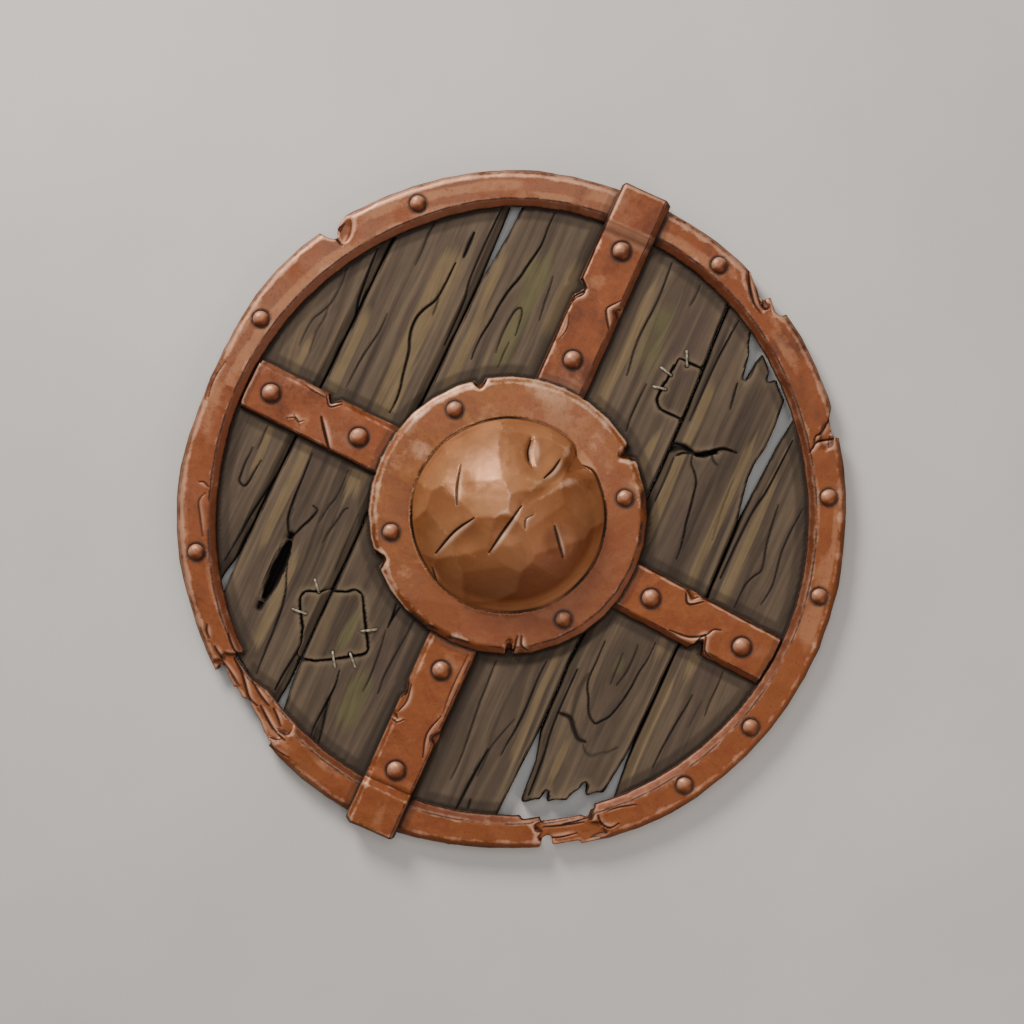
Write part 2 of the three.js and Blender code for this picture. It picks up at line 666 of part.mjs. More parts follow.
function bossSolid() {
  const low = boardThickness;
  const top = low + flangeThickness;
  // The dome is a cap of a ball: its outside starts on the flange, its inside runs down to the boards
  const ball = (domeRadius ** 2 + domeHeight ** 2) / (2 * domeHeight);
  const ballMiddle = top + domeHeight - ball;
  const arc = (radius, startHeight, steps) => Array.from({ length: steps }, (_, i) => {
    const angle = Math.acos((startHeight - ballMiddle) / radius) * (1 - i / steps);
    return [radius * Math.sin(angle), ballMiddle + radius * Math.cos(angle)];
  });
  const profile = [
    [0, top + domeHeight - bossWall], ...arc(ball - bossWall, low, 5).reverse(),
    [flangeRadius, low], [flangeRadius, top - flangeBevelDrop], [flangeRadius - flangeBevel, top],
    ...arc(ball, top, 8), [0, top + domeHeight],
  ].map(([radius, height]) => new THREE.Vector2(radius, height));
  const sheet = new THREE.LatheGeometry(profile, bossSides).rotateX(Math.PI / 2);
  const beaten = toSolid(atBoss(beatDome(sheet)));
  const nicks = flangeNicks.map(({ angle, width, depth }) => {
    const rings = [[low - 1, 0.6], [top + 1, 1.2]].map(([height, grow]) => {
      const corners = [[flangeRadius + 1, width * grow / 2], [flangeRadius - depth * grow, width * 0.1],
        [flangeRadius + 1, -width * grow / 2]];
      return corners.map(([out, across]) => {
        const point = turned(out, across, angle).add(bossCentre);
        return new THREE.Vector3(point.x, point.y, height);
      });
    });
    return toSolid(loft(rings));
  });
  return beaten.subtract(joinAll([...nicks, ...straps.map(strapPocket), rivetHoles]));
}

// Wooden bar across the hand hole, its thin ends let into the boards' back.
function gripSolid(ease = 0) {
  const bend = handHoleRadius - 3;
  const stations = [
    [-gripReach - ease, gripTabThickness], [-bend - 1 + (ease ? 6 : 0), gripTabThickness],
    [-bend + 6, gripHeight * 0.7], [-bend + 20, gripHeight],
    [bend - 20, gripHeight], [bend - 6, gripHeight * 0.7],
    [bend + 1 - (ease ? 6 : 0), gripTabThickness], [gripReach + ease, gripTabThickness],
  ];
  const rings = stations.map(([distance, height]) => {
    const high = ease ? gripTabThickness + ease : height;
    const half = gripHalfWidth + ease;
    const round = ease ? 0.01 : Math.min(5, high * 0.35);
    const section = [[-half, -ease], [half, -ease], [half, high - round], [half - round, high],
      [-half + round, high], [-half, high - round]];
    return section.map(([across, up]) => new THREE.Vector3(distance, across, up));
  });
  return toSolid(atBoss(loft(rings).rotateZ(radians(gripAngle))));
}

const plan = rivetPlan();
const rivetHoles = joinAll(plan.map(({ at, seat, head }) => toSolid(rivetGeometry(at, seat, head, fitGap))));
const insideLip = disc((angle) => outerRadius(angle) - boardSetback, -1, boardThickness + 1);
const insideHoop = disc((angle) => innerRadius(angle) - fitGap, 0, boardThickness + strapThickness + 1);
const tearCutter = (tear) => prism(tear.map(place), -1, boardThickness + rimThickness + 1);
const tears = joinAll(outerTears.map(tearCutter));
const allTears = tears.add(joinAll(innerTears.map(tearCutter)));

function rotCutter() {
  const steps = 6;
  const ring = [];
  for (let i = 0; i <= steps; i++) {
    const angle = radians(rottenEnds.from + ((rottenEnds.to - rottenEnds.from) * i) / steps);
    const inner = outerRadius(angle) - rottenEnds.cutBack + (i % 2);
    ring.push(new THREE.Vector2(Math.cos(angle), Math.sin(angle)).multiplyScalar(inner));
  }
  const outer = [rottenEnds.to, rottenEnds.from].map((degrees) => new THREE.Vector2(
    Math.cos(radians(degrees)), Math.sin(radians(degrees)),
  ).multiplyScalar(rimRadius * 1.1));
  return prism([...ring, ...outer], -1, boardThickness + 1);
}

const stapleSlots = joinAll(staples.map((staple) => toSolid(stapleGeometry(staple, fitGap))));
const woodCuts = joinAll([
  upright(handHoleRadius, -1, boardThickness + 1, bossSides, bossCentre),
  gripSolid(fitGap),
  rivetHoles,
  tears,
  rotCutter(),
  stapleSlots,
  ...brokenEnds.map((outline) => prism(outline.map(place), -1, boardThickness + 1)),
  ...cracks.map(({ line, gap, depth }) => sliver(line, gap, boardThickness - depth, boardThickness + 1)),
]);

const wood = new THREE.MeshStandardMaterial({ color: "#64543f", roughness: 0.85, metalness: 0 });
const patchWood = new THREE.MeshStandardMaterial({ color: "#59493a", roughness: 0.85, metalness: 0 });
const gripWood = new THREE.MeshStandardMaterial({ color: "#4f3f2e", roughness: 0.75, metalness: 0 });
const copper = new THREE.MeshStandardMaterial({ color: "#9a5a38", roughness: 0.45, metalness: 0.85 });
const polished = new THREE.MeshStandardMaterial({ color: "#b87a52", roughness: 0.32, metalness: 0.9 });
const wire = new THREE.MeshStandardMaterial({ color: "#a39d8c", roughness: 0.5, metalness: 0.6 });

const buckler = new THREE.Group();
const shield = new THREE.Group();
shield.position.copy(outlineMiddle).negate();
buckler.add(shield);

function addPiece(name, solidOrGeometry, material) {
  const geometry = solidOrGeometry.isBufferGeometry ? solidOrGeometry : toGeometry(solidOrGeometry);
  const mesh = new THREE.Mesh(geometry, material);
  mesh.name = name;
  shield.add(mesh);
}

const bareBoards = boardNames.map((name, number) => boardSolid(number));
boardNames.forEach((name, number) => {
  const pockets = patches.filter((patch) => patch.board === number).map((patch) => patchPrism(patch, 0));
  const cuts = joinAll([woodCuts, ...pockets]);
  addPiece(name, bareBoards[number].subtract(cuts), wood);
});
for (const patch of patches) {
  const inlay = bareBoards[patch.board].intersect(patchPrism(patch, patchSeam));
  addPiece(patch.name, inlay.subtract(stapleSlots), patchWood);
}
staples.forEach((staple, i) => addPiece(`staple_${i + 1}`, stapleGeometry(staple), wire));
addPiece("rim_hoop", rimSolid(), copper);
for (const strap of straps) addPiece(strap.name, strapSolid(strap), copper);
addPiece("boss", bossSolid(), polished);
addPiece("grip", gripSolid().subtract(rivetHoles), gripWood);
for (const { name, at, seat, head } of plan) addPiece(name, rivetGeometry(at, seat, head), polished);

export default buckler;
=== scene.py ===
import math

import bpy
import numpy as np
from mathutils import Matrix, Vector
from mathutils.bvhtree import BVHTree


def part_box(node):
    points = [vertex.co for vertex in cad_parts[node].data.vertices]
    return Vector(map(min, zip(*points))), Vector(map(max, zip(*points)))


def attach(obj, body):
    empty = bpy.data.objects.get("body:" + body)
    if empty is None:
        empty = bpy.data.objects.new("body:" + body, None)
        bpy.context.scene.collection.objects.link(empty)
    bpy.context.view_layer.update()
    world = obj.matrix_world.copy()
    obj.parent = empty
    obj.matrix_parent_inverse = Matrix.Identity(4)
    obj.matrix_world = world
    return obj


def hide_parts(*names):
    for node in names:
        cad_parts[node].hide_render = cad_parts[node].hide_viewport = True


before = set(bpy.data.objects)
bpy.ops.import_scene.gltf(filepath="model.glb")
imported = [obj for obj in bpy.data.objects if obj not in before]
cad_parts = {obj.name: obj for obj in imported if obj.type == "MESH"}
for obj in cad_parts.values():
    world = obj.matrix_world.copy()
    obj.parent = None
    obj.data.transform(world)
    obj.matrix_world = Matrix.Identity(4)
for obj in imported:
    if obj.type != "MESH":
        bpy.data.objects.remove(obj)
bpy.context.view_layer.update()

mm = 0.001

# The drawing's lines are measured from the middle of the circle that the shield was laid out on
layoutShift = np.array([-3.2, 1.0])
bossMiddle = np.array([0.0, -3.0]) + layoutShift


# Selecting, copying and remeshing

def selectOnly(piece):
    if bpy.context.object and bpy.context.object.mode != "OBJECT":
        bpy.ops.object.mode_set(mode="OBJECT")
    bpy.ops.object.select_all(action="DESELECT")
    piece.select_set(True)
    bpy.context.view_layer.objects.active = piece


def applyModifier(piece, kind, **settings):
    selectOnly(piece)
    modifier = piece.modifiers.new(kind.lower(), kind)
    for name, value in settings.items():
        setattr(modifier, name, value)
    bpy.ops.object.modifier_apply(modifier=modifier.name)


def copyOfNode(node, name):
    # The solid's loose triangles, joined up in a mesh of their own
    piece = bpy.data.objects.new(name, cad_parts[node].data.copy())
    bpy.context.scene.collection.objects.link(piece)
    piece.data.materials.clear()
    selectOnly(piece)
    bpy.ops.object.mode_set(mode="EDIT")
    bpy.ops.mesh.select_all(action="SELECT")
    bpy.ops.mesh.remove_doubles(threshold=0.00001)
    bpy.ops.mesh.normals_make_consistent(inside=False)
    bpy.ops.object.mode_set(mode="OBJECT")
    return piece


def remesh(piece, faceSize, rounding):
    # An even skin of small faces, so that wear can be carved anywhere on it
    applyModifier(piece, "REMESH", mode="VOXEL", voxel_size=faceSize * mm)
    applyModifier(piece, "SMOOTH", factor=0.5, iterations=rounding)


def readMesh(piece):
    count = len(piece.data.vertices)
    points = np.empty(count * 3, np.float32)
    normals = np.empty(count * 3, np.float32)
    piece.data.vertices.foreach_get("co", points)
    piece.data.vertices.foreach_get("normal", normals)
    return points.reshape(-1, 3).astype(float) / mm, normals.reshape(-1, 3).astype(float)


def writeMesh(piece, points):
    piece.data.vertices.foreach_set("co", (points * mm).astype(np.float32).ravel())
    piece.data.update()


def writeMark(piece, name, values):
    mark = piece.data.attributes.get(name) or piece.data.attributes.new(name, "FLOAT", "POINT")
    mark.data.foreach_set("value", values.astype(np.float32))


def writeFlow(piece, across, along, height):
    # Where each point lies in the grain, which the oak's pattern follows; in mm
    flow = piece.data.attributes.new("grainFlow", "FLOAT_VECTOR", "POINT")
    flow.data.foreach_set("vector", np.column_stack([across, along, height]).astype(np.float32).ravel())


def finishPiece(piece, material, node):
    piece.data.materials.append(material)
    selectOnly(piece)
    bpy.ops.object.shade_smooth()
    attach(piece, "root")
    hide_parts(node)
    print("made", piece.name, len(piece.data.polygons), "faces")


# Noise on a plane, from -1 to 1, one bump to each unit; every seed gives another pattern

def hashed(a, b, seed):
    # One steady random value from -1 to 1 for each whole a and b, from large odd factors
    value = (a * 73856093) ^ (b * 19349663) ^ (seed * 83492791)
    value = (value ^ (value >> 13)) * 1274126177 & 0x7FFFFFFF
    return ((value ^ (value >> 15)) & 0xFFFF) / 32767.5 - 1


def noise(u, v, seed):
    left, low = np.floor(u).astype(np.int64), np.floor(v).astype(np.int64)
    across, up = u - left, v - low
    across, up = across * across * (3 - 2 * across), up * up * (3 - 2 * up)
    bottom = hashed(left, low, seed) * (1 - across) + hashed(left + 1, low, seed) * across
    top = hashed(left, low + 1, seed) * (1 - across) + hashed(left + 1, low + 1, seed) * across
    return bottom * (1 - up) + top * up


def roughNoise(u, v, seed):
    # Three layers, each twice as fine and half as strong
    total = sum(noise(u * 2 ** layer, v * 2 ** layer, seed + layer) / 2 ** layer for layer in range(3))
    return total / 1.75


def hammerMarks(u, v, seed):
    # How far each point lies from the nearest blow of the hammer, squared: shallow bowls with ridges between
    left, low = np.floor(u).astype(np.int64), np.floor(v).astype(np.int64)
    nearest = np.full(len(u), 9.0)
    for i in (-1, 0, 1):
        for j in (-1, 0, 1):
            blowU = left + i + 0.5 + 0.42 * hashed(left + i, low + j, seed)
            blowV = low + j + 0.5 + 0.42 * hashed(left + i, low + j, seed + 7)
            nearest = np.minimum(nearest, (u - blowU) ** 2 + (v - blowV) ** 2)
    return np.minimum(nearest, 1)


# Lines drawn on the face

def smoothLine(line):
    # A curve through every point of the line
    steps = 5
    points = np.array(line, float) + layoutShift
    if len(points) < 3:
        return points
    padded = np.vstack([2 * points[0] - points[1], points, 2 * points[-1] - points[-2]])
    curve = []
    for a, b, c, d in zip(padded, padded[1:], padded[2:], padded[3:]):
        for step in range(steps):
            t = step / steps
            curve.append(b + 0.5 * t * (c - a + t * (2 * a - 5 * b + 4 * c - d + t * (3 * (b - c) + d - a))))
    return np.array(curve + [points[-1]])


def lineReach(places, line):
    # Distance from a line, signed share along it and side of it
    curve = smoothLine(line)
    runs = np.linalg.norm(np.diff(curve, axis=0), axis=1)
    starts = np.concatenate([[0], np.cumsum(runs)])
    distance = np.full(len(places), 1e3)
    share = np.zeros(len(places))
    side = np.zeros(len(places))
    margin = 12     # mm, further than any cut reaches
    near = np.all((places > curve.min(0) - margin) & (places < curve.max(0) + margin), axis=1)
    spots = places[near]
    best, bestShare, bestSide = distance[near], share[near], side[near]
    for a, b, start, run in zip(curve, curve[1:], starts, runs):
        along = np.clip((spots - a) @ (b - a) / run ** 2, 0, 1)
        offset = spots - a - along[:, None] * (b - a)
        away = np.linalg.norm(offset, axis=1)
        closer = away < best
        best = np.where(closer, away, best)
        bestShare = np.where(closer, (start + along * run) / starts[-1], bestShare)
        crossed = (b - a)[0] * offset[:, 1] - (b - a)[1] * offset[:, 0]
        bestSide = np.where(closer, np.sign(crossed), bestSide)
    distance[near], share[near], side[near] = best, bestShare, bestSide
    return distance, share, side


def refineNear(piece, lines, reach):
    # Smaller faces along the lines, so that a narrow cut keeps a clean edge
    points, normals = readMesh(piece)
    chosen = np.zeros(len(points), bool)
    for line in lines:
        chosen |= (lineReach(points[:, :2], line)[0] < reach) & (normals[:, 2] > 0.3)
    mesh = piece.data
    loopVertex = np.empty(len(mesh.loops), np.int32)
    mesh.loops.foreach_get("vertex_index", loopVertex)
    firstLoop = np.empty(len(mesh.polygons), np.int32)
    mesh.polygons.foreach_get("loop_start", firstLoop)
    picked = np.logical_and.reduceat(chosen[loopVertex], firstLoop)
    selectOnly(piece)
    bpy.ops.object.mode_set(mode="EDIT")
    bpy.ops.mesh.select_mode(type="FACE")
    bpy.ops.mesh.select_all(action="DESELECT")
    bpy.ops.object.mode_set(mode="OBJECT")
    mesh.polygons.foreach_set("select", picked)
    bpy.ops.object.mode_set(mode="EDIT")
    bpy.ops.mesh.subdivide(number_cuts=1)
    bpy.ops.object.mode_set(mode="OBJECT")


def taper(share, blunt=0.5):
    # A cut is widest halfway along and runs out at its ends
    return np.clip(np.sin(np.pi * np.clip(share, 0.02, 0.98)), 0, 1) ** blunt


def neighbourMean(values, edges, counts):
    summed = np.zeros_like(values)
    for axis in range(values.shape[1]):
        summed[:, axis] = (np.bincount(edges[:, 0], values[edges[:, 1], axis], len(values))
                           + np.bincount(edges[:, 1], values[edges[:, 0], axis], len(values)))
    return summed / counts[:, None]


def evened(piece, values, rounds):
    edges = np.empty(len(piece.data.edges) * 2, np.int32)
    piece.data.edges.foreach_get("vertices", edges)
    edges = edges.reshape(-1, 2)
    counts = np.maximum(np.bincount(edges.ravel(), minlength=len(values)), 1)
    for _ in range(rounds):
        values = 0.4 * values + 0.6 * neighbourMean(values, edges, counts)
    return values


def proudness(piece, points, normals, rounds):
    # Convex edges stand proud of an evened copy of the skin, and hollows lie under it; in mm
    return np.einsum("ij,ij->i", points - evened(piece, points, rounds), normals)


def treeOf(nodes):
    # The solids' skins, ready for a search of the nearest place
    corners, faces = [], []
    for node in nodes:
        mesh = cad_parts[node].data
        faces += [[v + len(corners) for v in face.vertices] for face in mesh.polygons]
        corners += [vertex.co.copy() for vertex in mesh.vertices]
    return BVHTree.FromPolygons(corners, faces)


def shadowBeside(tree, points, wanted, contact, band, bandShade):
    # Painted contact shadow where pieces touch, then a band of painted shadow with a fairly sharp edge
    shadowShare = np.zeros(len(points))
    for i in np.flatnonzero(wanted):
        distance = tree.find_nearest(Vector(points[i] * mm), band * 1.3 * mm)[3]
        if distance is not None:
            shadowShare[i] = max(0.92 * np.clip((contact - distance / mm) / (contact * 0.5), 0, 1),
                          bandShade * np.clip((band - distance / mm) / (band * 0.22), 0, 1))
    return shadowShare


# Materials

def linear(hexColour):
    channels = [int(hexColour[i:i + 2], 16) / 255 for i in (1, 3, 5)]
    return [c / 12.92 if c <= 0.04045 else ((c + 0.055) / 1.055) ** 2.4 for c in channels] + [1]


def addNode(tree, kind, output, inputs=None, stops=None, **settings):
    node = tree.nodes.new(kind)
    for name, value in settings.items():
        setattr(node, name, value)
    for name, value in (inputs or {}).items():
        if isinstance(value, bpy.types.NodeSocket):
            tree.links.new(value, node.inputs[name])
        else:
            node.inputs[name].default_value = linear(value) if isinstance(value, str) else value
    if stops:
        ramp = node.color_ramp.elements
        ramp.remove(ramp[-1])
        for number, (place, colour) in enumerate(stops):
            stop = ramp.new(place) if number else ramp[0]
            stop.position = place
            stop.color = linear(colour) if isinstance(colour, str) else (colour, colour, colour, 1)
    return node.outputs[output]


def newMaterial(name):
    material = bpy.data.materials.new(name)
    material.use_nodes = True
    tree = material.node_tree
    tree.nodes.clear()
    shader = tree.nodes.new("ShaderNodeBsdfPrincipled")
    tree.links.new(shader.outputs[0], tree.nodes.new("ShaderNodeOutputMaterial").inputs["Surface"])
    return material, tree, shader


def layMarked(tree, colour, markName, above, pattern=None, factor=1.0, low=0.0, high=1.0, strength=1.0):
    # Lays a colour over another wherever a mark was carved; a pattern breaks up its edges
    share = addNode(tree, "ShaderNodeAttribute", "Fac", attribute_name=markName)
    if pattern:
        share = addNode(tree, "ShaderNodeMath", 0, {0: pattern, 1: factor, 2: share},
                        operation="MULTIPLY_ADD")
        share = addNode(tree, "ShaderNodeMapRange", 0, {
            "Value": share, "From Min": low, "From Max": high, "To Max": strength})
    return addNode(tree, "ShaderNodeMix", 2, {0: share, 6: colour, 7: above}, data_type="RGBA")


def weatheredOak(name, look):
    # Split oak left bare for years: grey-brown, paler early wood in long streaks, greenish where damp sat
    material, tree, shader = newMaterial(name)
    flow = addNode(tree, "ShaderNodeAttribute", "Vector", attribute_name="grainFlow")
    patterns = []
    for across, along, detail in ((look["broadWidth"], look["broadLength"], 2.0),
                                  (look["narrowWidth"], look["narrowLength"], 3.0),
                                  (look["fibreWidth"], look["fibreLength"], 3.0),
                                  (look["cloudSize"], look["cloudSize"] * 1.6, 5.0)):
        placed = addNode(tree, "ShaderNodeMapping", 0, {"Vector": flow, "Scale": (1 / across, 1 / along, 1)})
        patterns.append(addNode(tree, "ShaderNodeTexNoise", "Fac", {
            "Vector": placed, "Scale": 1.0, "Detail": detail, "Roughness": 0.6}))
    broad, narrow, fibre, cloud = patterns
    tone = addNode(tree, "ShaderNodeMath", 0, {0: broad, 1: 0.55, 2: 0.0}, operation="MULTIPLY_ADD")
    tone = addNode(tree, "ShaderNodeMath", 0, {0: narrow, 1: 0.45, 2: tone}, operation="MULTIPLY_ADD")
    colour = addNode(tree, "ShaderNodeValToRGB", 0, {"Fac": tone}, look["tones"])
    # Streaks of other colours, torn up by the narrow grain
    for markName, key, strength in (("plum", "plumColour", 0.6), ("tan", "tanColour", 0.8),
                                    ("olive", "oliveColour", 0.7)):
        colour = layMarked(tree, colour, markName, look[key], narrow, 1.3, 1.0, 1.3, strength)
    for pattern, strength, stops in ((cloud, 0.35, [(0.35, 0.72), (0.6, 1.0)]),
                                     (fibre, 0.5, [(0.34, 0.6), (0.56, 1.0)])):
        darker = addNode(tree, "ShaderNodeValToRGB", 0, {"Fac": pattern}, stops)
        colour = addNode(tree, "ShaderNodeMix", 2, {0: strength, 6: colour, 7: darker},
                         data_type="RGBA", blend_type="MULTIPLY")
    # Worn edges, then painted shade on the joints' bevels, darker hollows, painted shadow beside the metal,
    # and black cuts
    for markName, key in (("edgeWear", "wornColour"), ("shade", "grimeAndShadeColour"), ("hollow", "grimeAndShadeColour"),
                          ("paintedShadow", "grimeAndShadeColour"), ("cut", "cutColour")):
        colour = layMarked(tree, colour, markName, look[key])
    tree.links.new(colour, shader.inputs["Base Color"])
    rough = addNode(tree, "ShaderNodeMapRange", 0, {"Value": fibre, "To Min": 0.72, "To Max": 0.92})
    tree.links.new(rough, shader.inputs["Roughness"])
    shader.inputs["Specular IOR Level"].default_value = 0.25
    bump = addNode(tree, "ShaderNodeBump", 0, {"Height": fibre, "Strength": 0.45, "Distance": 0.35 * mm})
    tree.links.new(bump, shader.inputs["Normal"])
    return material


def beatenCopper(name, look):
    # Sheet copper beaten cold, its brown oxide rubbed through to pink metal on every proud edge
    material, tree, shader = newMaterial(name)
    place = addNode(tree, "ShaderNodeTexCoord", "Object")
    textures = (("patchSize", 4.0, 0.6), ("mottleSize", 6.0, 0.72), ("pitSize", 4.0, 0.7))
    broad, middling, fine = [
        addNode(tree, "ShaderNodeTexNoise", "Fac", {
            "Vector": place, "Scale": 1 / (look[size] * mm), "Detail": detail, "Roughness": rough})
        for size, detail, rough in textures]
    tone = addNode(tree, "ShaderNodeMath", 0, {0: broad, 1: 0.5, 2: 0.0}, operation="MULTIPLY_ADD")
    tone = addNode(tree, "ShaderNodeMath", 0, {0: middling, 1: 0.5, 2: tone}, operation="MULTIPLY_ADD")
    colour = addNode(tree, "ShaderNodeValToRGB", 0, {"Fac": tone}, look["tones"])

    # Broken rust and pits in the oxide, which lie under the rubbed edges
    patches = addNode(tree, "ShaderNodeMapRange", 0, {
        "Value": broad, "From Min": 0.5, "From Max": 0.56, "To Max": 0.7})
    rust = addNode(tree, "ShaderNodeMapRange", 0, {"Value": middling, "From Min": 0.43, "From Max": 0.53})
    rust = addNode(tree, "ShaderNodeMath", 0, {0: patches, 1: rust}, operation="MULTIPLY")
    pits = addNode(tree, "ShaderNodeMapRange", 0, {
        "Value": fine, "From Min": 0.56, "From Max": 0.66, "To Max": 0.45})

    warmth, wear = look["warmStrength"], look["wearStrength"]
    # Painted shade, warmer away from the top, painted light towards it, then rubbed streaks
    colour = layMarked(tree, colour, "warm", look["warmColour"], broad, 0.7, 0.55, 1.15, warmth)
    colour = layMarked(tree, colour, "bloom", look["bloomColour"], middling, 1.0, 0.95, 1.15, 0.5)
    colour = layMarked(tree, colour, "streak", look["streakColour"], middling, 0.8, 0.86, 1.08, 0.6)
    for share, key in ((rust, "rustColour"), (pits, "oxideColour")):
        colour = addNode(tree, "ShaderNodeMix", 2, {0: share, 6: colour, 7: look[key]}, data_type="RGBA")
    colour = layMarked(tree, colour, "edgeWear", look["wornColour"], middling, 1.1, 0.8, 1.08, wear)
    # Painted glow on the dome, bright lips and painted highlights, painted shade, oxide in the hollows,
    # painted shadow, then black cuts
    for markName, key in (("paintedGlow", "paintedGlowColour"), ("bright", "wornColour"), ("shade", "oxideColour"),
                          ("hollow", "oxideColour"), ("paintedShadow", "grimeAndShadeColour"), ("cut", "cutColour")):
        colour = layMarked(tree, colour, markName, look[key])

    # A dark line painted as shade along the arris where a bevel begins
    bevel = addNode(tree, "ShaderNodeAttribute", "Fac", attribute_name="bevel")
    halfway = addNode(tree, "ShaderNodeMath", 0, {0: bevel, 1: 0.5}, operation="SUBTRACT")
    halfway = addNode(tree, "ShaderNodeMath", 0, {0: halfway}, operation="ABSOLUTE")
    arris = addNode(tree, "ShaderNodeMapRange", 0, {"Value": halfway, "From Min": 0.45, "From Max": 0.15})
    broken = addNode(tree, "ShaderNodeMapRange", 0, {
        "Value": middling, "From Min": 0.38, "From Max": 0.5, "To Max": 0.85})
    arris = addNode(tree, "ShaderNodeMath", 0, {0: arris, 1: broken}, operation="MULTIPLY")
    colour = addNode(tree, "ShaderNodeMix", 2, {0: arris, 6: colour, 7: look["cutColour"]}, data_type="RGBA")

    tree.links.new(colour, shader.inputs["Base Color"])
    shader.inputs["Metallic"].default_value = look["metallic"]
    rough = addNode(tree, "ShaderNodeMapRange", 0, {
        "Value": middling, "From Min": 0.3, "From Max": 0.7,
        "To Min": look["smoothest"], "To Max": look["roughest"]})
    tree.links.new(rough, shader.inputs["Roughness"])
    skin = addNode(tree, "ShaderNodeMath", 0, {0: fine, 1: 0.5, 2: middling}, operation="MULTIPLY_ADD")
    bump = addNode(tree, "ShaderNodeBump", 0, {"Height": skin, "Strength": 0.3, "Distance": 0.45 * mm})
    tree.links.new(bump, shader.inputs["Normal"])
    return material


def oakLook(**changes):
    return {
        "broadWidth": 15.0, "broadLength": 170.0, "narrowWidth": 4.6, "narrowLength": 120.0,  # mm
        "fibreWidth": 1.1, "fibreLength": 60.0, "cloudSize": 9.0,
        "tones": [(0.34, "#3f352d"), (0.46, "#54473b"), (0.56, "#5f5143"), (0.66, "#6d5c47")],
        "tanColour": "#7a684b", "oliveColour": "#646040", "plumColour": "#51423b",
        "wornColour": "#86745a", "grimeAndShadeColour": "#2a221c", "cutColour": "#0d0a07", **changes,
    }


def copperLook(**changes):
    return {
        "patchSize": 46.0, "mottleSize": 12.0, "pitSize": 1.7,  # mm
        "tones": [(0.38, "#552811"), (0.46, "#763c1a"), (0.54, "#874a26"), (0.63, "#9c613a")],
        "warmColour": "#8a4b1e", "warmStrength": 0.75, "bloomColour": "#8c5e45", "streakColour": "#aa7450",
        "rustColour": "#7d3d1a", "paintedGlowColour": "#cd9566", "oxideColour": "#542a15",
        "wornColour": "#cc9879", "wearStrength": 0.8, "grimeAndShadeColour": "#1d0f08", "cutColour": "#140a05",
        "metallic": 0.45, "smoothest": 0.38, "roughest": 0.58, **changes,
    }


boardOak = weatheredOak("weathered_split_oak", oakLook())
patchOak = weatheredOak("inlaid_oak", oakLook(tones=[(0.34, "#3c322a"), (0.5, "#54473b"), (0.66, "#64543f")]))
gripAsh = weatheredOak("hand_darkened_ash", oakLook(
    tones=[(0.34, "#38261a"), (0.5, "#523823"), (0.66, "#6b4c31")], wornColour="#8a6846"))
fittingCopper = beatenCopper("hammered_copper_oxidised", copperLook())
bossCopper = beatenCopper("hammered_copper_rubbed", copperLook(
    tones=[(0.36, "#673514"), (0.46, "#82491e"), (0.54, "#945a29"), (0.64, "#ab7340")],
    warmColour="#7c4014", warmStrength=0.85, bloomColour="#9c6f50", streakColour="#c4946f",
    oxideColour="#5e3017", wornColour="#dcb090", metallic=0.32, smoothest=0.34, roughest=0.5))


def ironWire():
    # Drawn iron wire gone dull: pale where it was bent and hammered in, brown in its hollows
    material, tree, shader = newMaterial("dull_iron_wire")
    place = addNode(tree, "ShaderNodeTexCoord", "Object")
    mottle = addNode(tree, "ShaderNodeTexNoise", "Fac", {
        "Vector": place, "Scale": 1 / (1.5 * mm), "Detail": 3.0})
    colour = addNode(tree, "ShaderNodeValToRGB", 0, {"Fac": mottle}, [(0.35, "#6c6555"), (0.65, "#aaa28d")])
    colour = layMarked(tree, colour, "hollow", "#4b4234")
    tree.links.new(colour, shader.inputs["Base Color"])
    shader.inputs["Metallic"].default_value = 0.55
    rough = addNode(tree, "ShaderNodeMapRange", 0, {"Value": mottle, "To Min": 0.4, "To Max": 0.65})
    tree.links.new(rough, shader.inputs["Roughness"])
    return material


staplesIron = ironWire()
print("materials ready")

# Directions for the painted light and shade: the side the light comes from, and the top of the shield as it
# lies
litSide = np.array([-0.8, 0.6])
upSide = np.array([-0.66, 0.75])


# Boards: each keeps the cut outline of its solid, with carved grain, checks and worn arrises

grain = {
    "faceSize": 1.25,       # mm between points of the skin
    "patchFaceSize": 0.8,
    "cutReach": 1.9,        # mm on each side of a cut with faces half that size
    "ridgeHeight": 0.3,     # mm, broad ridges of late wood
    "ridgeWidth": 5.2,
    "ridgeLength": 130.0,
    "fibreHeight": 0.14,
    "fibreWidth": 1.9,
    "fibreLength": 34.0,
    "bend": 1.6,            # mm that the grain bends to either side
    "bendLength": 75.0,
    "backShare": 0.35,      # the back was planed, so its relief is lower
    "edgeWander": 0.5,      # mm that the boards' sides wander
    "wanderLength": 16.0,
    "squeeze": 0.3,         # mm that the lower part of a joint is pressed shut
    "squeezeBelow": 6.5,
    "contact": 2.6,         # mm of painted contact shadow beside the metal
    "shadowBand": 7.5,        # mm of painted shadow beside the metal
}

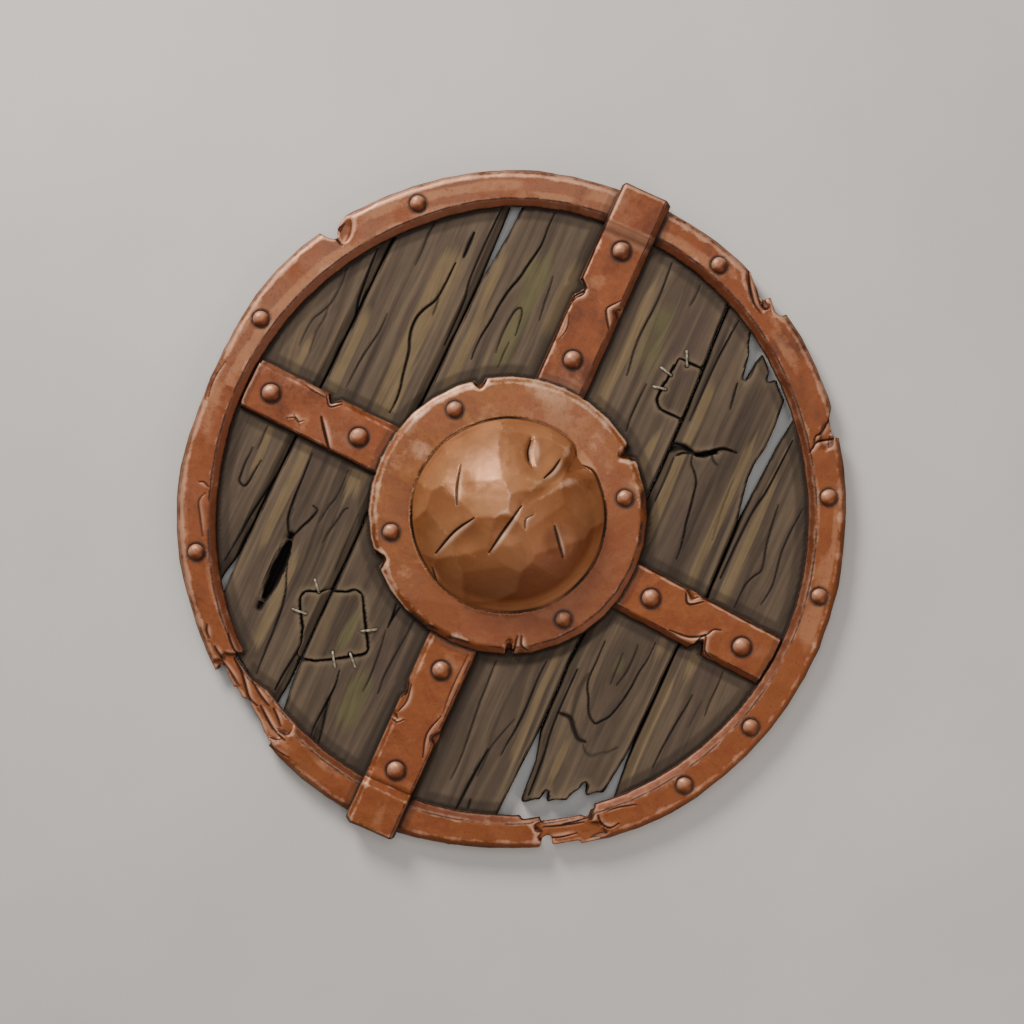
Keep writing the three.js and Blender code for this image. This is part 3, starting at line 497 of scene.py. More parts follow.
# Checks and grain lines: width, depth in mm and darkness, then the line from top to bottom
boardLines = {
    "board_far_left": [
        (1.3, 0.8, 0.8, [(-147, 92), (-146, 82), (-147, 70), (-150, 62), (-153, 56), (-154, 47),
                         (-154, 38)]),
        (1.2, 0.8, 0.7, [(-147.5, 66), (-147, 60), (-148, 51), (-147.5, 43), (-147, 37)]),
        (1.7, 1.3, 1.0, [(-135, 110), (-134.6, 100), (-134, 90), (-133, 78), (-131, 69), (-130.7, 60)]),
        (1.2, 0.8, 0.8, [(-152, -12), (-151.6, -22), (-151.6, -28)]),
        (1.6, 1.1, 1.0, [(-154.6, -28), (-155, -38), (-154.6, -45), (-153.8, -49.4), (-150, -50.8),
                         (-148.5, -47), (-147.9, -40), (-147, -33)]),
        (1.6, 1.2, 0.9, [(-133.6, -12), (-134.3, -25), (-135.4, -38), (-137.6, -53), (-139.6, -66),
                         (-140.6, -78), (-142.6, -96)]),
    ],
    "board_left": [
        (1.4, 1.0, 0.8, [(-110.5, 142), (-110.8, 129), (-110.4, 121), (-110.4, 110)]),
        (2.2, 1.8, 1.0, [(-86.5, 142), (-86.4, 134), (-86.2, 126)]),
        (2.0, 1.6, 1.0, [(-89.3, 121), (-89.7, 109), (-90.4, 100), (-91.5, 95), (-95, 88.6),
                         (-97.1, 82.5), (-97.3, 75.6), (-95.8, 68.7), (-93.2, 61.7), (-90.6, 47),
                         (-89.2, 41), (-88.3, 33), (-88.8, 24)]),
        (1.3, 0.9, 0.8, [(-89.8, 98), (-89.4, 93), (-89, 87)]),
        (1.4, 0.9, 0.8, [(-114, 77), (-114, 66), (-115.5, 57), (-117, 48), (-118, 38), (-118.5, 27)]),
        (1.6, 1.1, 0.9, [(-77.4, 162), (-77.9, 137), (-77.4, 115), (-75.6, 104), (-75.4, 88),
                         (-75.4, 74)]),
        (1.7, 1.4, 1.0, [(-121, -17), (-120.5, -28), (-120.2, -38), (-119.8, -47), (-118.6, -57),
                         (-115.4, -64), (-111.6, -70), (-109, -80), (-108, -89)]),
        (1.7, 1.3, 1.0, [(-107.9, -45), (-105, -46), (-104.6, -48), (-106.5, -54), (-108.8, -59),
                         (-112, -68)]),
        (8.0, 3.5, 1.0, [(-112.7, -66), (-112.6, -76), (-112, -87), (-112.4, -99), (-112.7, -113)]),
        (1.4, 1.0, 0.8, [(-97.6, -17), (-97, -26.5), (-97.6, -36), (-99, -40.5), (-100, -47),
                         (-100.4, -52.6)]),
        (1.4, 1.0, 0.8, [(-88.3, -37.7), (-90.2, -40.5), (-91.6, -49), (-93, -55.4), (-93.9, -63)]),
        (1.2, 0.6, 0.5, [(-81.3, -39), (-81, -56), (-80.4, -74)]),
        (1.5, 1.1, 0.9, [(-108, -82), (-105.7, -89), (-102.4, -97), (-100.6, -105), (-99.6, -114.5),
                         (-98.9, -130), (-98.2, -150)]),
        (1.7, 1.2, 1.0, [(-80.5, -121), (-81.4, -128.5), (-83.3, -142), (-84.2, -154)]),
    ],
    "board_inner_left": [
        (1.8, 1.3, 1.0, [(-47.5, 172), (-47.5, 162), (-47, 153), (-47.7, 146.5), (-49.5, 137),
                         (-51, 128), (-53.6, 119.5), (-55.4, 108), (-56, 99), (-57.6, 88), (-57.9, 79),
                         (-57.4, 73)]),
        (1.4, 1.0, 0.9, [(-45.8, 82), (-46.7, 92.5), (-46.4, 101.5), (-45.5, 109), (-43.2, 112.3),
                         (-41, 109.6), (-39.9, 102.4), (-39.2, 96)]),
        (1.2, 0.8, 0.8, [(-41, 91), (-41.3, 83.5), (-41, 74.5)]),
        (1.3, 0.9, 0.8, [(-33, 137), (-32, 128.5), (-31.4, 121), (-30.6, 115), (-30, 110)]),
        (1.9, 1.3, 1.0, [(-39, -78), (-38, -86), (-38, -93)]),
        (1.9, 1.3, 1.0, [(-36.2, -79), (-37.2, -84), (-38, -89)]),
        (1.4, 0.9, 0.8, [(-38.5, -95), (-37, -105.5), (-36.2, -115), (-35.7, -124), (-36, -133.5)]),
        (1.5, 1.0, 0.8, [(-25.7, -82), (-25.9, -90.5), (-26.8, -101), (-27.6, -110), (-28.2, -122),
                         (-27.3, -131)]),
        (1.7, 1.3, 1.0, [(-53.9, -128), (-52.5, -137), (-53, -147.5), (-53.9, -163), (-53.4, -171)]),
        (1.7, 1.3, 1.0, [(-52.5, -149), (-50.2, -159), (-48.3, -169), (-47.8, -174)]),
        (4.6, 1.0, 0.5, [(-52.6, -146), (-51.6, -158), (-50.6, -173)]),
    ],
    "board_inner_right": [
        (1.6, 1.1, 0.9, [(28, 173.5), (28.7, 164.5), (29.4, 154.6), (29.3, 144), (28.5, 133),
                         (28.2, 124), (28.8, 115), (30, 108), (30.9, 101.5)]),
        (1.3, 0.9, 0.8, [(48.9, 168), (48.9, 160), (48.3, 154.6)]),
        (1.4, 1.0, 0.9, [(43.5, 101.5), (43, 90), (43, 79), (44, 71)]),
        (1.4, 0.9, 0.8, [(28.6, -85), (29.4, -98), (30, -112), (31, -123), (32.2, -135), (33.1, -149),
                         (32.8, -160)]),
        (1.6, 1.1, 1.0, [(56.2, -73), (55.7, -84), (56.2, -96), (56.4, -107), (55.7, -118.6),
                         (54.8, -126), (54.1, -135)]),
        (1.3, 0.9, 0.7, [(52.9, -112), (49.2, -124), (46.8, -133.5), (46.8, -143), (46.4, -152)]),
        (2.1, 1.5, 1.0, [(45.9, -135), (44.5, -149), (43.6, -160.6), (43, -175)]),
        (1.6, 1.1, 0.9, [(48.4, -166), (49.2, -172)]),
    ],
    "board_right": [
        (1.6, 1.2, 1.0, [(78.2, 158), (77.4, 149), (76.4, 137), (75.9, 124), (75.8, 108), (75.8, 92)]),
        (1.5, 1.1, 0.9, [(76, 68), (76.4, 58), (76.4, 40)]),
        (1.6, 1.2, 0.9, [(92.6, 124), (93.9, 115), (95, 108)]),
        (2.6, 2.2, 1.0, [(71.6, 76), (78.6, 77), (82.2, 75.6), (88.5, 75.4), (93, 77), (95.7, 81),
                         (101, 85), (109, 85.9)]),
        (5.2, 2.0, 1.0, [(70, 70), (74, 73.5), (79, 76), (84, 76)]),
        (2.0, 1.6, 1.0, [(77, 70), (80, 73), (84, 74.4)]),
        (1.4, 1.1, 0.9, [(95.3, 80), (98.4, 76), (102, 74.4)]),
        (1.6, 1.3, 1.0, [(85.6, 74), (87, 69), (91, 65), (94.3, 60), (95.8, 53), (97.2, 45), (98.7, 35),
                         (100, 30), (101.6, 21), (102, 14)]),
        (1.0, 0.5, 0.5, [(113.5, 73), (114.2, 60), (115.6, 43), (117, 32.5)]),
        (1.5, 1.1, 0.9, [(83, -48), (83.3, -60), (83.3, -72), (85, -78), (88, -83), (91, -90), (95, -94),
                         (98, -94.8), (100.5, -92), (104, -87), (107, -76), (108.5, -66), (109, -57),
                         (110.5, -48), (110.8, -37)]),
        (1.1, 0.7, 0.7, [(95.8, -50), (96, -60), (96.2, -70)]),
        (1.3, 0.9, 0.8, [(102, -42), (102.5, -50), (102, -60), (100, -69)]),
        (3.2, 1.4, 0.9, [(75.3, -98), (82.8, -98), (87, -102.7), (92, -107.4), (96.8, -107.4)]),
        (2.2, 0.5, 0.45, [(95.8, -109), (99.6, -113), (103.8, -113.4), (108, -110), (111.7, -107.4),
                          (115.4, -102.7)]),
        (4.0, 0.4, 0.35, [(82, -70), (80.6, -80), (82, -90), (84, -99)]),
        (1.7, 1.2, 1.0, [(74.8, -70), (74.8, -93), (75.5, -110), (77.6, -126), (79, -150)]),
    ],
    "board_far_right": [
        (1.7, 1.2, 1.0, [(136.4, 106), (135.4, 86.6), (134.3, 71), (132, 57.6), (131, 38), (130.6, 14)]),
        (1.4, 1.0, 0.9, [(144.1, 68), (145.6, 56), (147.5, 43), (150, 33.5), (150.7, 27.7), (147.5, 22),
                         (145.6, 16), (145.1, 8.3), (144.9, 1.5)]),
        (1.4, 1.0, 0.9, [(158.6, 72), (157.5, 60), (157.2, 48), (157.7, 40), (159.4, 30.6), (160.4, 22),
                         (159.6, 14), (158.5, 9.3)]),
        (1.4, 1.0, 0.9, [(143.5, -56), (142.8, -65), (141.5, -75), (140.5, -85), (139.8, -95),
                         (139.5, -105)]),
        (1.3, 0.9, 0.8, [(154.5, -36), (154.8, -45), (154.5, -55), (155, -64)]),
        (1.0, 0.5, 0.5, [(150, -57), (149.6, -66), (149, -75)]),
    ],
}

# Weathered streaks: middle and half width across the boards, then both ends along them, in mm
tanStreaks = [
    (-125, 3.5, -95, 90), (-92, 7, -45, 140), (-64.5, 3, -60, 150), (24, 4, -60, 170), (61.5, 3, -150, 90),
    (80, 4, -10, 130), (115.5, 3.5, -60, 110), (128.5, 3, -150, -40), (136.5, 3.5, -60, 100),
    (-104, 3, -150, -62), (-22, 5, 90, 165), (14, 4, -165, -90), (-150, 3, -60, 60), (88, 3, -150, -98),
]
oliveStreaks = [
    (-41.5, 8, 60, 160), (-38.5, 8, -172, -112), (38, 7, 92, 165), (96, 5, -78, -38), (-60, 4, -130, -80),
]
plumStreaks = [
    (57, 13, 92, 168), (-118, 6, -60, 20), (146, 5, -110, -20), (92, 6, -20, 60), (-30, 6, -150, -80),
]

# Pin knots and the eyes of cathedral grain that the fibres run round: x, y, half width and half length in mm
knots = [
    (-43, 92, 5, 30), (-150, 50, 5, 26), (-151, -32, 4.5, 24), (98, -52, 8, 40), (150, 26, 3, 14),
    (37, 145, 5, 30), (-97, 82, 4, 22), (-36, -125, 5, 28), (92, 76, 3, 8), (49, -120, 5, 34),
    (-110, -88, 5, 30),
]


# The long gash in one board, in mm; its slope falls this much for each mm across it
gash = {"middle": -112.6, "half": 4.2, "from": -113.0, "to": -65.0, "fall": 1.15,
        "lip": 0.8, "highest": 9.6, "lowest": 3.0}


def grainFlow(points, number):
    across = points[:, 0].copy()
    along = points[:, 1]
    for x, y, halfWidth, halfLength in knots:
        offset = across - (x + layoutShift[0])
        reach = np.exp(-((along - y - layoutShift[1]) / halfLength) ** 2 - (offset / (halfWidth * 2.6)) ** 2)
        across = across - halfWidth * 0.85 * reach * np.tanh(offset / halfWidth * 1.6)
    across = across + grain["bend"] * noise(along / grain["bendLength"], across / 60, 11 + number)
    # Each board was cut from another place in the tree
    return across + 37.0 * number, along + 91.0 * number


def streakShare(points, streaks):
    x = points[:, 0] - layoutShift[0] + 1.5 * noise(points[:, 1] / 30, points[:, 0] / 30, 91)
    y = points[:, 1] - layoutShift[1]
    share = np.zeros(len(points))
    for middle, half, low, high in streaks:
        ends = np.clip((y - low) / 22, 0, 1) * np.clip((high - y) / 22, 0, 1)
        share = np.maximum(share, np.clip(1.5 - np.abs(x - middle) / half, 0, 1) * ends)
    return share * 0.75


def slopeGash(points, normals, cut):
    # The long gash was levered open: one side is a torn slope, only the other is sheer
    x = points[:, 0] - layoutShift[0] - gash["middle"]
    share = (points[:, 1] - layoutShift[1] - gash["from"]) / (gash["to"] - gash["from"])
    half = gash["half"] * np.sin(np.pi * np.clip(share, 0, 1))
    inside = (np.abs(x) < half + gash["lip"]) & (share > 0) & (share < 1) & (normals[:, 2] > -0.3)
    inside &= (points[:, 2] < gash["highest"]) & (points[:, 2] > gash["lowest"])
    fall = gash["fall"] * (x + half) + 0.5 * roughNoise(x / 1.2, points[:, 1] / 9, 99)
    slope = np.clip(9.5 - np.maximum(fall, 0), 0, 9.5)
    torn = inside & (slope > points[:, 2]) & (half > 1)
    points[torn, 2] = slope[torn]
    return np.where(torn, np.clip(0.1 + 0.2 * np.maximum(fall - 2, 0), 0, 0.85), cut)


def raiseGrain(points, normals, across, along, number):
    # Ridges and fibres stand up on the faces, and the sides wander
    faceShare = np.where(normals[:, 2] > 0.3, 1.0, np.where(normals[:, 2] < -0.3, grain["backShare"], 0.0))
    ridges = noise(across / grain["ridgeWidth"], along / grain["ridgeLength"], 3) ** 2 * -1.4 + 0.3
    fibres = roughNoise(across / grain["fibreWidth"], along / grain["fibreLength"], 5)
    lift = (ridges * grain["ridgeHeight"] + fibres * grain["fibreHeight"]) * faceShare
    sides = np.abs(normals[:, 2]) < 0.5
    v, u = points[:, :2].T / grain["wanderLength"]
    wander = grain["edgeWander"] * roughNoise(u, v, 21 + number) - 0.2
    wander = np.where(points[:, 2] < grain["squeezeBelow"], grain["squeeze"], wander)
    points += normals * np.where(sides, wander, 0)[:, None]
    points[:, 2] += lift


def carveBoard(piece, node, number, metal):
    lines = boardLines.get(node, [])
    if lines:
        refineNear(piece, [line for *_, line in lines], grain["cutReach"])
    points, normals = readMesh(piece)
    above = normals[:, 2] > 0.3
    # Bevels beside the joints are darker with painted shade
    sideways = np.clip((np.abs(normals[:, 0]) - 0.25) / 0.15, 0, 1)
    writeMark(piece, "shade", 0.5 * sideways * (normals[:, 2] > 0.6))
    for name, streaks in (("tan", tanStreaks), ("olive", oliveStreaks), ("plum", plumStreaks)):
        writeMark(piece, name, streakShare(points, streaks))
    across, along = grainFlow(points, number)
    raiseGrain(points, normals, across, along, number)
    # Sharp arrises and side walls are black, wider ones rubbed pale
    sharp = proudness(piece, points, normals, 5)
    soft = proudness(piece, points, normals, 14)
    writeMark(piece, "edgeWear", np.clip(soft / 0.7, 0, 0.35) * above)
    writeMark(piece, "hollow", np.clip(-soft / 0.8, 0, 0.7))
    cut = np.clip((sharp - 0.27) / 0.16, 0, 0.9)
    cut = np.maximum(cut, 0.85 * np.clip((0.62 - np.abs(normals[:, 2])) / 0.2, 0, 1))
    for width, depth, darkness, line in lines:
        away, share, _ = lineReach(points[:, :2], line)
        half = width / 2 * (0.4 + 0.6 * taper(share))
        points[:, 2] -= depth * np.clip(1 - away / half, 0, 1) ** 0.7 * above
        cut = np.maximum(cut, darkness * np.clip(1.5 * (1 - away / (half * 1.3)), 0, 1) * above)
    if node == "board_left":
        cut = slopeGash(points, normals, cut)
    points[:, 2] = np.maximum(points[:, 2], 0)
    writeMesh(piece, points)
    writeMark(piece, "cut", cut)
    writeFlow(piece, across, along, points[:, 2])
    # Painted contact shadow and a band of painted shadow beside the metal
    facing = normals[:, 2] > 0.2
    writeMark(piece, "paintedShadow", shadowBeside(metal, points, facing, grain["contact"], grain["shadowBand"], 0.5))


metal = treeOf(["rim_hoop", "strap_top", "strap_left", "strap_bottom", "strap_right", "boss"])
for number, node in enumerate(["board_far_left", "board_left", "board_inner_left", "board_inner_right",
                               "board_right", "board_far_right"]):
    board = copyOfNode(node, node + "_carved")
    remesh(board, grain["faceSize"] * (1), 1)
    carveBoard(board, node, number, metal)
    finishPiece(board, boardOak, node)

for number, node in enumerate(["patch_upper", "patch_lower_left", "patch_lower_right"]):
    patch = copyOfNode(node, node + "_carved")
    remesh(patch, grain["patchFaceSize"], 1)
    carveBoard(patch, node, number + 2, metal)
    finishPiece(patch, patchOak, node)
print("boards carved and patched")


# Hoop and straps: hammered all over, with wavering edges, scores and torn places

hammering = {
    "hoopFaceSize": 1.08,   # mm
    "strapFaceSize": 0.85,
    "cutReach": 2.2,        # mm on each side of a cut with faces half that size
    "blowSize": 15.0,       # mm across each hammer mark
    "blowDepth": 0.6,
    "edgeWander": 0.6,      # mm
    "wanderLength": 19.0,
    "scaleDepth": 0.1,
    "scaleSize": 3.0,
    "wearReach": 0.6,       # mm that an edge stands proud where it is rubbed bright
    "hollowReach": 0.9,
    "warmSpan": 230.0,      # mm over which the painted warm shade comes in
    "warmPatch": 60.0,
    "paintedLightPatch": 38.0,
    "hoopStreaks": 5.5,     # round the hoop, for each radian
    "hoopStreakWidth": 5.2,
    "strapStreaks": (9.0, 16.0),
    "contact": 1.5,         # mm of painted contact shadow where another piece lies on it
    "shadowBand": 5.0,
    "ringWidth": 0.75,      # mm of painted shade round each rivet
}

# Scores and cracks in the metal: width and depth in mm, how bright a lip they threw up, then the line
metalLines = {
    "rim_hoop": [
        (1.6, 1.6, 0.7, [(-163, 106), (-158.6, 105), (-154.5, 103)]),
        (1.5, 1.4, 0.6, [(71.4, 188), (75, 180.7), (79.5, 174.4), (84, 170), (88.5, 167.6)]),
        (1.3, 1.3, 0.5, [(74.6, 186), (80, 180), (83.5, 175), (86, 172), (89, 170)]),
        (1.2, 1.0, 0.5, [(86, 174.6), (88, 170.6), (91, 171), (90.6, 173.4)]),
        (1.6, 1.4, 0.9, [(157.7, 116.6), (149.9, 111.3), (148.5, 106), (148, 103)]),
        (1.4, 1.4, 0.6, [(150.9, 128), (149.9, 117.6), (147.5, 113.7), (148, 110)]),
        (1.4, 1.2, 0.6, [(-136.5, -134.6), (-134.6, -138.6), (-131.8, -141.6)]),
        (1.4, 1.2, 0.6, [(-127.2, -144.4), (-123.6, -147), (-119.7, -149)]),
        (1.4, 1.1, 0.7, [(-122.5, -134), (-118.8, -138.8), (-114, -142.5), (-109.4, -141.6)]),
        (1.7, 1.3, 0.9, [(-114, -146), (-105.7, -152.8), (-96.4, -164), (-89.8, -166.8)]),
        (1.5, 1.2, 0.8, [(-98.2, -154.6), (-91, -160), (-83.3, -164)]),
        (1.4, 1.2, 0.8, [(-80.5, -164), (-76, -168), (-72, -172.4)]),
        (1.6, 1.2, 0.9, [(-88, -165.8), (-75.8, -175.2), (-66.5, -178.7)]),
        (1.3, 1.0, 0.5, [(-73, -185), (-66, -186.4), (-60, -187)]),
        (1.3, 1.0, 0.8, [(-120, -150.6), (-112, -155), (-104, -160.4)]),
        (1.2, 1.0, 0.7, [(-107, -146.4), (-100, -150), (-93, -154)]),
        (1.4, 1.2, 0.8, [(94, -163.4), (101, -159.6), (108, -155.4), (115, -151)]),
        (1.3, 1.1, 0.8, [(99, -168.4), (107, -164), (114, -158.4)]),
        (1.2, 1.0, 0.7, [(104, -157), (111, -152), (117, -146.6)]),
        (1.5, 1.2, 0.7, [(121, -143.6), (125, -147.6), (130.6, -147.4), (134, -143)]),
        (1.3, 1.0, 0.5, [(125, -139), (131, -133.6), (139, -128.6)]),
        (1.2, 0.8, 0.5, [(-168.4, -60), (-172, -58.6), (-175, -59.4)]),
        (1.2, 0.8, 0.5, [(-169, -64), (-170.4, -70), (-166, -78), (-160, -88)]),
        (1.1, 0.8, 0.5, [(-189.6, 12), (-191.4, 4), (-191.6, -4), (-190.4, -12)]),
    ],
    "strap_left": [
        (2.0, 1.3, 1.0, [(-124.7, 5.2), (-119, -2.4), (-112.6, -10.6)]),
        (1.1, 0.7, 0.6, [(-140.6, 18.8), (-134, 17.4), (-126.6, 17)]),
        (1.0, 0.7, 0.7, [(-143, -4), (-138, -1.5), (-134, -5)]),
        (1.0, 0.7, 0.7, [(-140, 0), (-136, -3), (-133, -1)]),
        (1.3, 0.9, 0.9, [(-126.6, 18.3), (-122.4, 12.8), (-116, 17.4)]),
    ],
    "strap_right": [
        (1.4, 0.9, 1.0, [(143, -14), (139, -15.4), (135.5, -20.5), (127, -25.4), (115, -26.4)]),
        (1.4, 1.1, 0.9, [(115, -2), (119, -7.6), (127, -2.6)]),
        (1.3, 0.9, 0.7, [(131, -30), (135.5, -20.5), (139, -29), (144, -32)]),
    ],
    "strap_bottom": [
        (1.2, 0.9, 0.9, [(-11.6, -118), (-10, -128), (-12.4, -136)]),
        (1.2, 0.8, 1.0, [(-14, -141), (-10, -141.6), (-7, -138.6)]),
        (1.3, 0.9, 0.6, [(12.3, -128), (8.8, -141), (12.3, -155)]),
        (1.0, 0.7, 0.4, [(12, -88), (11.4, -110), (12.4, -126)]),
    ],
    "strap_top": [
        (1.2, 0.9, 0.9, [(-17, 142.4), (-12.2, 135.7), (-15.3, 131.2), (-16.7, 127.6)]),
        (1.3, 0.9, 0.9, [(9.5, 140), (4, 133), (5.4, 128.5), (9.9, 122)]),
        (1.0, 0.7, 0.7, [(-14.6, 104), (-13, 112), (-15, 120)]),
    ],
}

# What lies on each piece and casts its painted shadow there
lapsOver = {
    "rim_hoop": ["strap_top", "strap_bottom"],
    "strap_top": ["boss"], "strap_bottom": ["boss"],
    "strap_left": ["boss", "rim_hoop"], "strap_right": ["boss", "rim_hoop"],
}
rivetNodes = sorted(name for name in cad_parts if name.startswith("rivet_"))


def rivetPlace(node):
    # Centre, radius of the head and height of the top, from the solid's own box
    low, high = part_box(node)
    centre = np.array([(low.x + high.x) / 2, (low.y + high.y) / 2]) / mm
    return centre, (high.x - low.x) / 2 / mm, high.z / mm


def rivetRings(points, reach):
    # A thin ring of painted shade round every rivet's head
    rings = np.zeros(len(points))
    for node in rivetNodes:
        centre, head, _ = rivetPlace(node)
        away = np.linalg.norm(points[:, :2] - centre, axis=1) - head
        rings = np.maximum(rings, 0.95 * np.exp(-(np.maximum(np.abs(away - 0.2) - 0.35, 0) / reach) ** 2))
    return rings


def darkEdges(normals):
    # Blackest on the rounded arris, less on the walls under it
    arris = 0.9 * np.clip((0.86 - normals[:, 2]) / 0.25, 0, 1) * np.clip((normals[:, 2] + 0.1) / 0.3, 0, 1)
    return np.maximum(arris, 0.4 * np.clip((0.3 - normals[:, 2]) / 0.3, 0, 1))


def carveLines(points, normals, facing, lines, cut, bright, lipHeight):
    # Each blade left a groove, black at its bottom, and threw a bright lip up along one side
    for width, depth, lip, line in lines:
        away, share, side = lineReach(points[:, :2], line)
        half = width / 2 * (0.4 + 0.6 * taper(share))
        groove = np.clip(1 - away / half, 0, 1) ** 0.7 * facing
        raised = np.exp(-((away - half * 1.7) / 1.2) ** 2) * (side > 0) * taper(share, 0.7) * facing
        points += normals * (lipHeight * lip * raised - depth * groove)[:, None]
        core = min(width, 2.0) * 0.55
        dark = np.clip(1.6 * (1 - away / (core * (0.4 + 0.6 * taper(share)))), 0, 1) * facing
        np.maximum(cut, min(1, 0.3 + depth * 0.7) * dark, out=cut)
        np.maximum(bright, lip * raised, out=bright)


def tintMetal(piece, points, normals, shade, span):
    # Rubbed where it stands proud, brighter on the side facing the light as painted highlight, dirty in its
    # hollows, painted shade on the bevels, and painted shade that is warmer the further it lies from the top,
    # with painted light nearer the top
    proud = proudness(piece, points, normals, 14)
    tilt = normals[:, :2] @ litSide
    rubbed = np.clip(proud / hammering["wearReach"], 0, 1)
    # Worn edges, painted brighter on the side facing the light
    writeMark(piece, "edgeWear", rubbed * np.clip(0.8 + 1.2 * tilt, 0.35, 1))
    writeMark(piece, "hollow", np.clip(-proud / hammering["hollowReach"] - 0.1, 0, 0.7))
    writeMark(piece, "shade", 0.62 * shade)
    # Painted shade grows warmer away from the top, and painted light paler towards it
    flat = points[:, :2] / hammering["warmPatch"]
    warm = 0.6 - points[:, :2] @ upSide / span + 0.2 * roughNoise(flat[:, 0], flat[:, 1], 95)
    writeMark(piece, "warm", np.clip(warm, 0, 1))
    flat = points[:, :2] / hammering["paintedLightPatch"]
    writeMark(piece, "bloom", np.clip(0.6 - warm + 0.5 * noise(flat[:, 0], flat[:, 1], 97), 0, 1))


# Where the top and bottom straps climb onto the hoop; in mm, counted outwards from the solid's own step
climb = {"levelTo": 140.0, "from": -14.0, "to": 12.0, "slopeFrom": -7.5, "slopeLength": 12.0, "above": 12.0}


def easeClimb(piece):
    # The strap was dressed down over the hoop's edge, so it climbs in one long slope
    points, normals = readMesh(piece)
    reach = np.abs(points[:, 1])
    upper = (normals[:, 2] > 0.6) & (points[:, 2] > climb["above"])
    low = np.percentile(points[upper, 2][reach[upper] < climb["levelTo"]], 80)
    high = np.percentile(points[upper, 2], 99)
    middle = (low + high) / 2
    start = np.median(reach[(normals[:, 2] > 0.3) & (np.abs(points[:, 2] - middle) < 0.6)])
    places = np.arange(start + climb["from"], start + climb["to"], 1.0)
    skin = np.array([points[(np.abs(reach - place) < 0.9) & upper, 2].max(initial=low) for place in places])
    share = np.clip((places - start - climb["slopeFrom"]) / climb["slopeLength"], 0, 1)
    wanted = low + (high - low) * share * share * (3 - 2 * share)
    shift = np.interp(reach, places, np.where(skin > low, wanted - skin, 0), 0, 0)
    points[:, 2] += shift * np.clip((points[:, 2] - 8) / 4, 0, 1)
    writeMesh(piece, points)


def streakMetal(piece, node, points, slopes, number):
    # How far each face leans away, from the light on the straps and inwards on the hoop, which gets painted
    # shade; rubbed streaks, paler on the hoop's lit side as painted light, go along the rest
    if node == "rim_hoop":
        flat = points[:, :2] - layoutShift
        radius = np.linalg.norm(flat, axis=1)
        lean = -np.einsum("ij,ij->i", flat, slopes[:, :2]) / radius
        around = np.arctan2(flat[:, 1], flat[:, 0]) * hammering["hoopStreaks"]
        streak = noise(around + 0.02 * radius, radius / hammering["hoopStreakWidth"], 37)
        streak = 0.32 + 0.62 * (streak + 0.3 * (flat @ litSide / radius))
    else:
        across = 0 if node in ("strap_top", "strap_bottom") else 1
        lean = -1.3 * slopes[:, across] * litSide[across]
        u, v = (points[:, :2] / hammering["strapStreaks"]).T
        streak = 0.16 + 0.62 * noise(u, v, 39 + number)
    writeMark(piece, "streak", np.clip(streak, 0, 1) * (lean < 0.2))
    return lean


def beatMetal(points, normals, facing, number):
    # Hammer marks and scale on the face, and sides that waver
    u, v = points[:, :2].T / hammering["wanderLength"]
    wander = hammering["edgeWander"] * roughNoise(u, v, 31 + number)
    sides = np.clip(1.4 - 1.6 * np.abs(normals[:, 2]), 0, 1)
    u, v = points[:, :2].T / hammering["blowSize"]
    blows = (hammerMarks(u, v, 41 + number) - 0.45) * hammering["blowDepth"]
    u, v = points[:, :2].T / hammering["scaleSize"]
    scale = hammering["scaleDepth"] * roughNoise(u, v, 51 + number)
    points += normals * ((blows + scale) * facing + (wander - 0.3) * sides)[:, None]


def carveMetal(piece, node, number):
    lines = metalLines[node]
    if node in ("strap_top", "strap_bottom"):
        easeClimb(piece)
    refineNear(piece, [line for *_, line in lines], hammering["cutReach"])
    points, normals = readMesh(piece)
    facing = normals[:, 2] > 0.2
    slopes = evened(piece, normals, 3)
    lean = streakMetal(piece, node, points, slopes, number)
    # Bevels that lean away get painted shade, with a painted shade line along their arris
    shade = np.clip((lean - 0.18) / 0.15, 0, 1) * facing
    writeMark(piece, "bevel", np.clip((lean - 0.1) / 0.2, 0, 1) * facing)
    beatMetal(points, normals, facing, number)
    tintMetal(piece, points, normals, shade, hammering["warmSpan"])
    cut = darkEdges(normals)
    bright = np.zeros(len(points))
    if node == "strap_top":
        # A painted highlight where it climbs, which turns from the light
        bright = 0.42 * np.clip(-4 * slopes[:, 1] - 0.3, 0, 1) * facing
    carveLines(points, normals, facing, lines, cut, bright, 0.35)
    points[:, 2] = np.maximum(points[:, 2], 0)
    writeMesh(piece, points)
    writeMark(piece, "cut", cut)
    writeMark(piece, "bright", bright)
    # Painted shadow where other pieces lie on it, and painted shade round every rivet
    under = treeOf(lapsOver[node])
    shadowShare = shadowBeside(under, points, facing, hammering["contact"], hammering["shadowBand"], 0.35)
    writeMark(piece, "paintedShadow", np.maximum(shadowShare, rivetRings(points, hammering["ringWidth"]) * facing))


for number, node in enumerate(["rim_hoop", "strap_top", "strap_left", "strap_bottom", "strap_right"]):
    fitting = copyOfNode(node, node + "_hammered")
    size = hammering["hoopFaceSize" if node == "rim_hoop" else "strapFaceSize"]
    remesh(fitting, size * (1), 1)
    carveMetal(fitting, node, number)
    finishPiece(fitting, fittingCopper, node)
print("hoop and straps hammered")


# Boss: the solid's nicks and flange are kept, its facets are beaten out into broad hammer marks

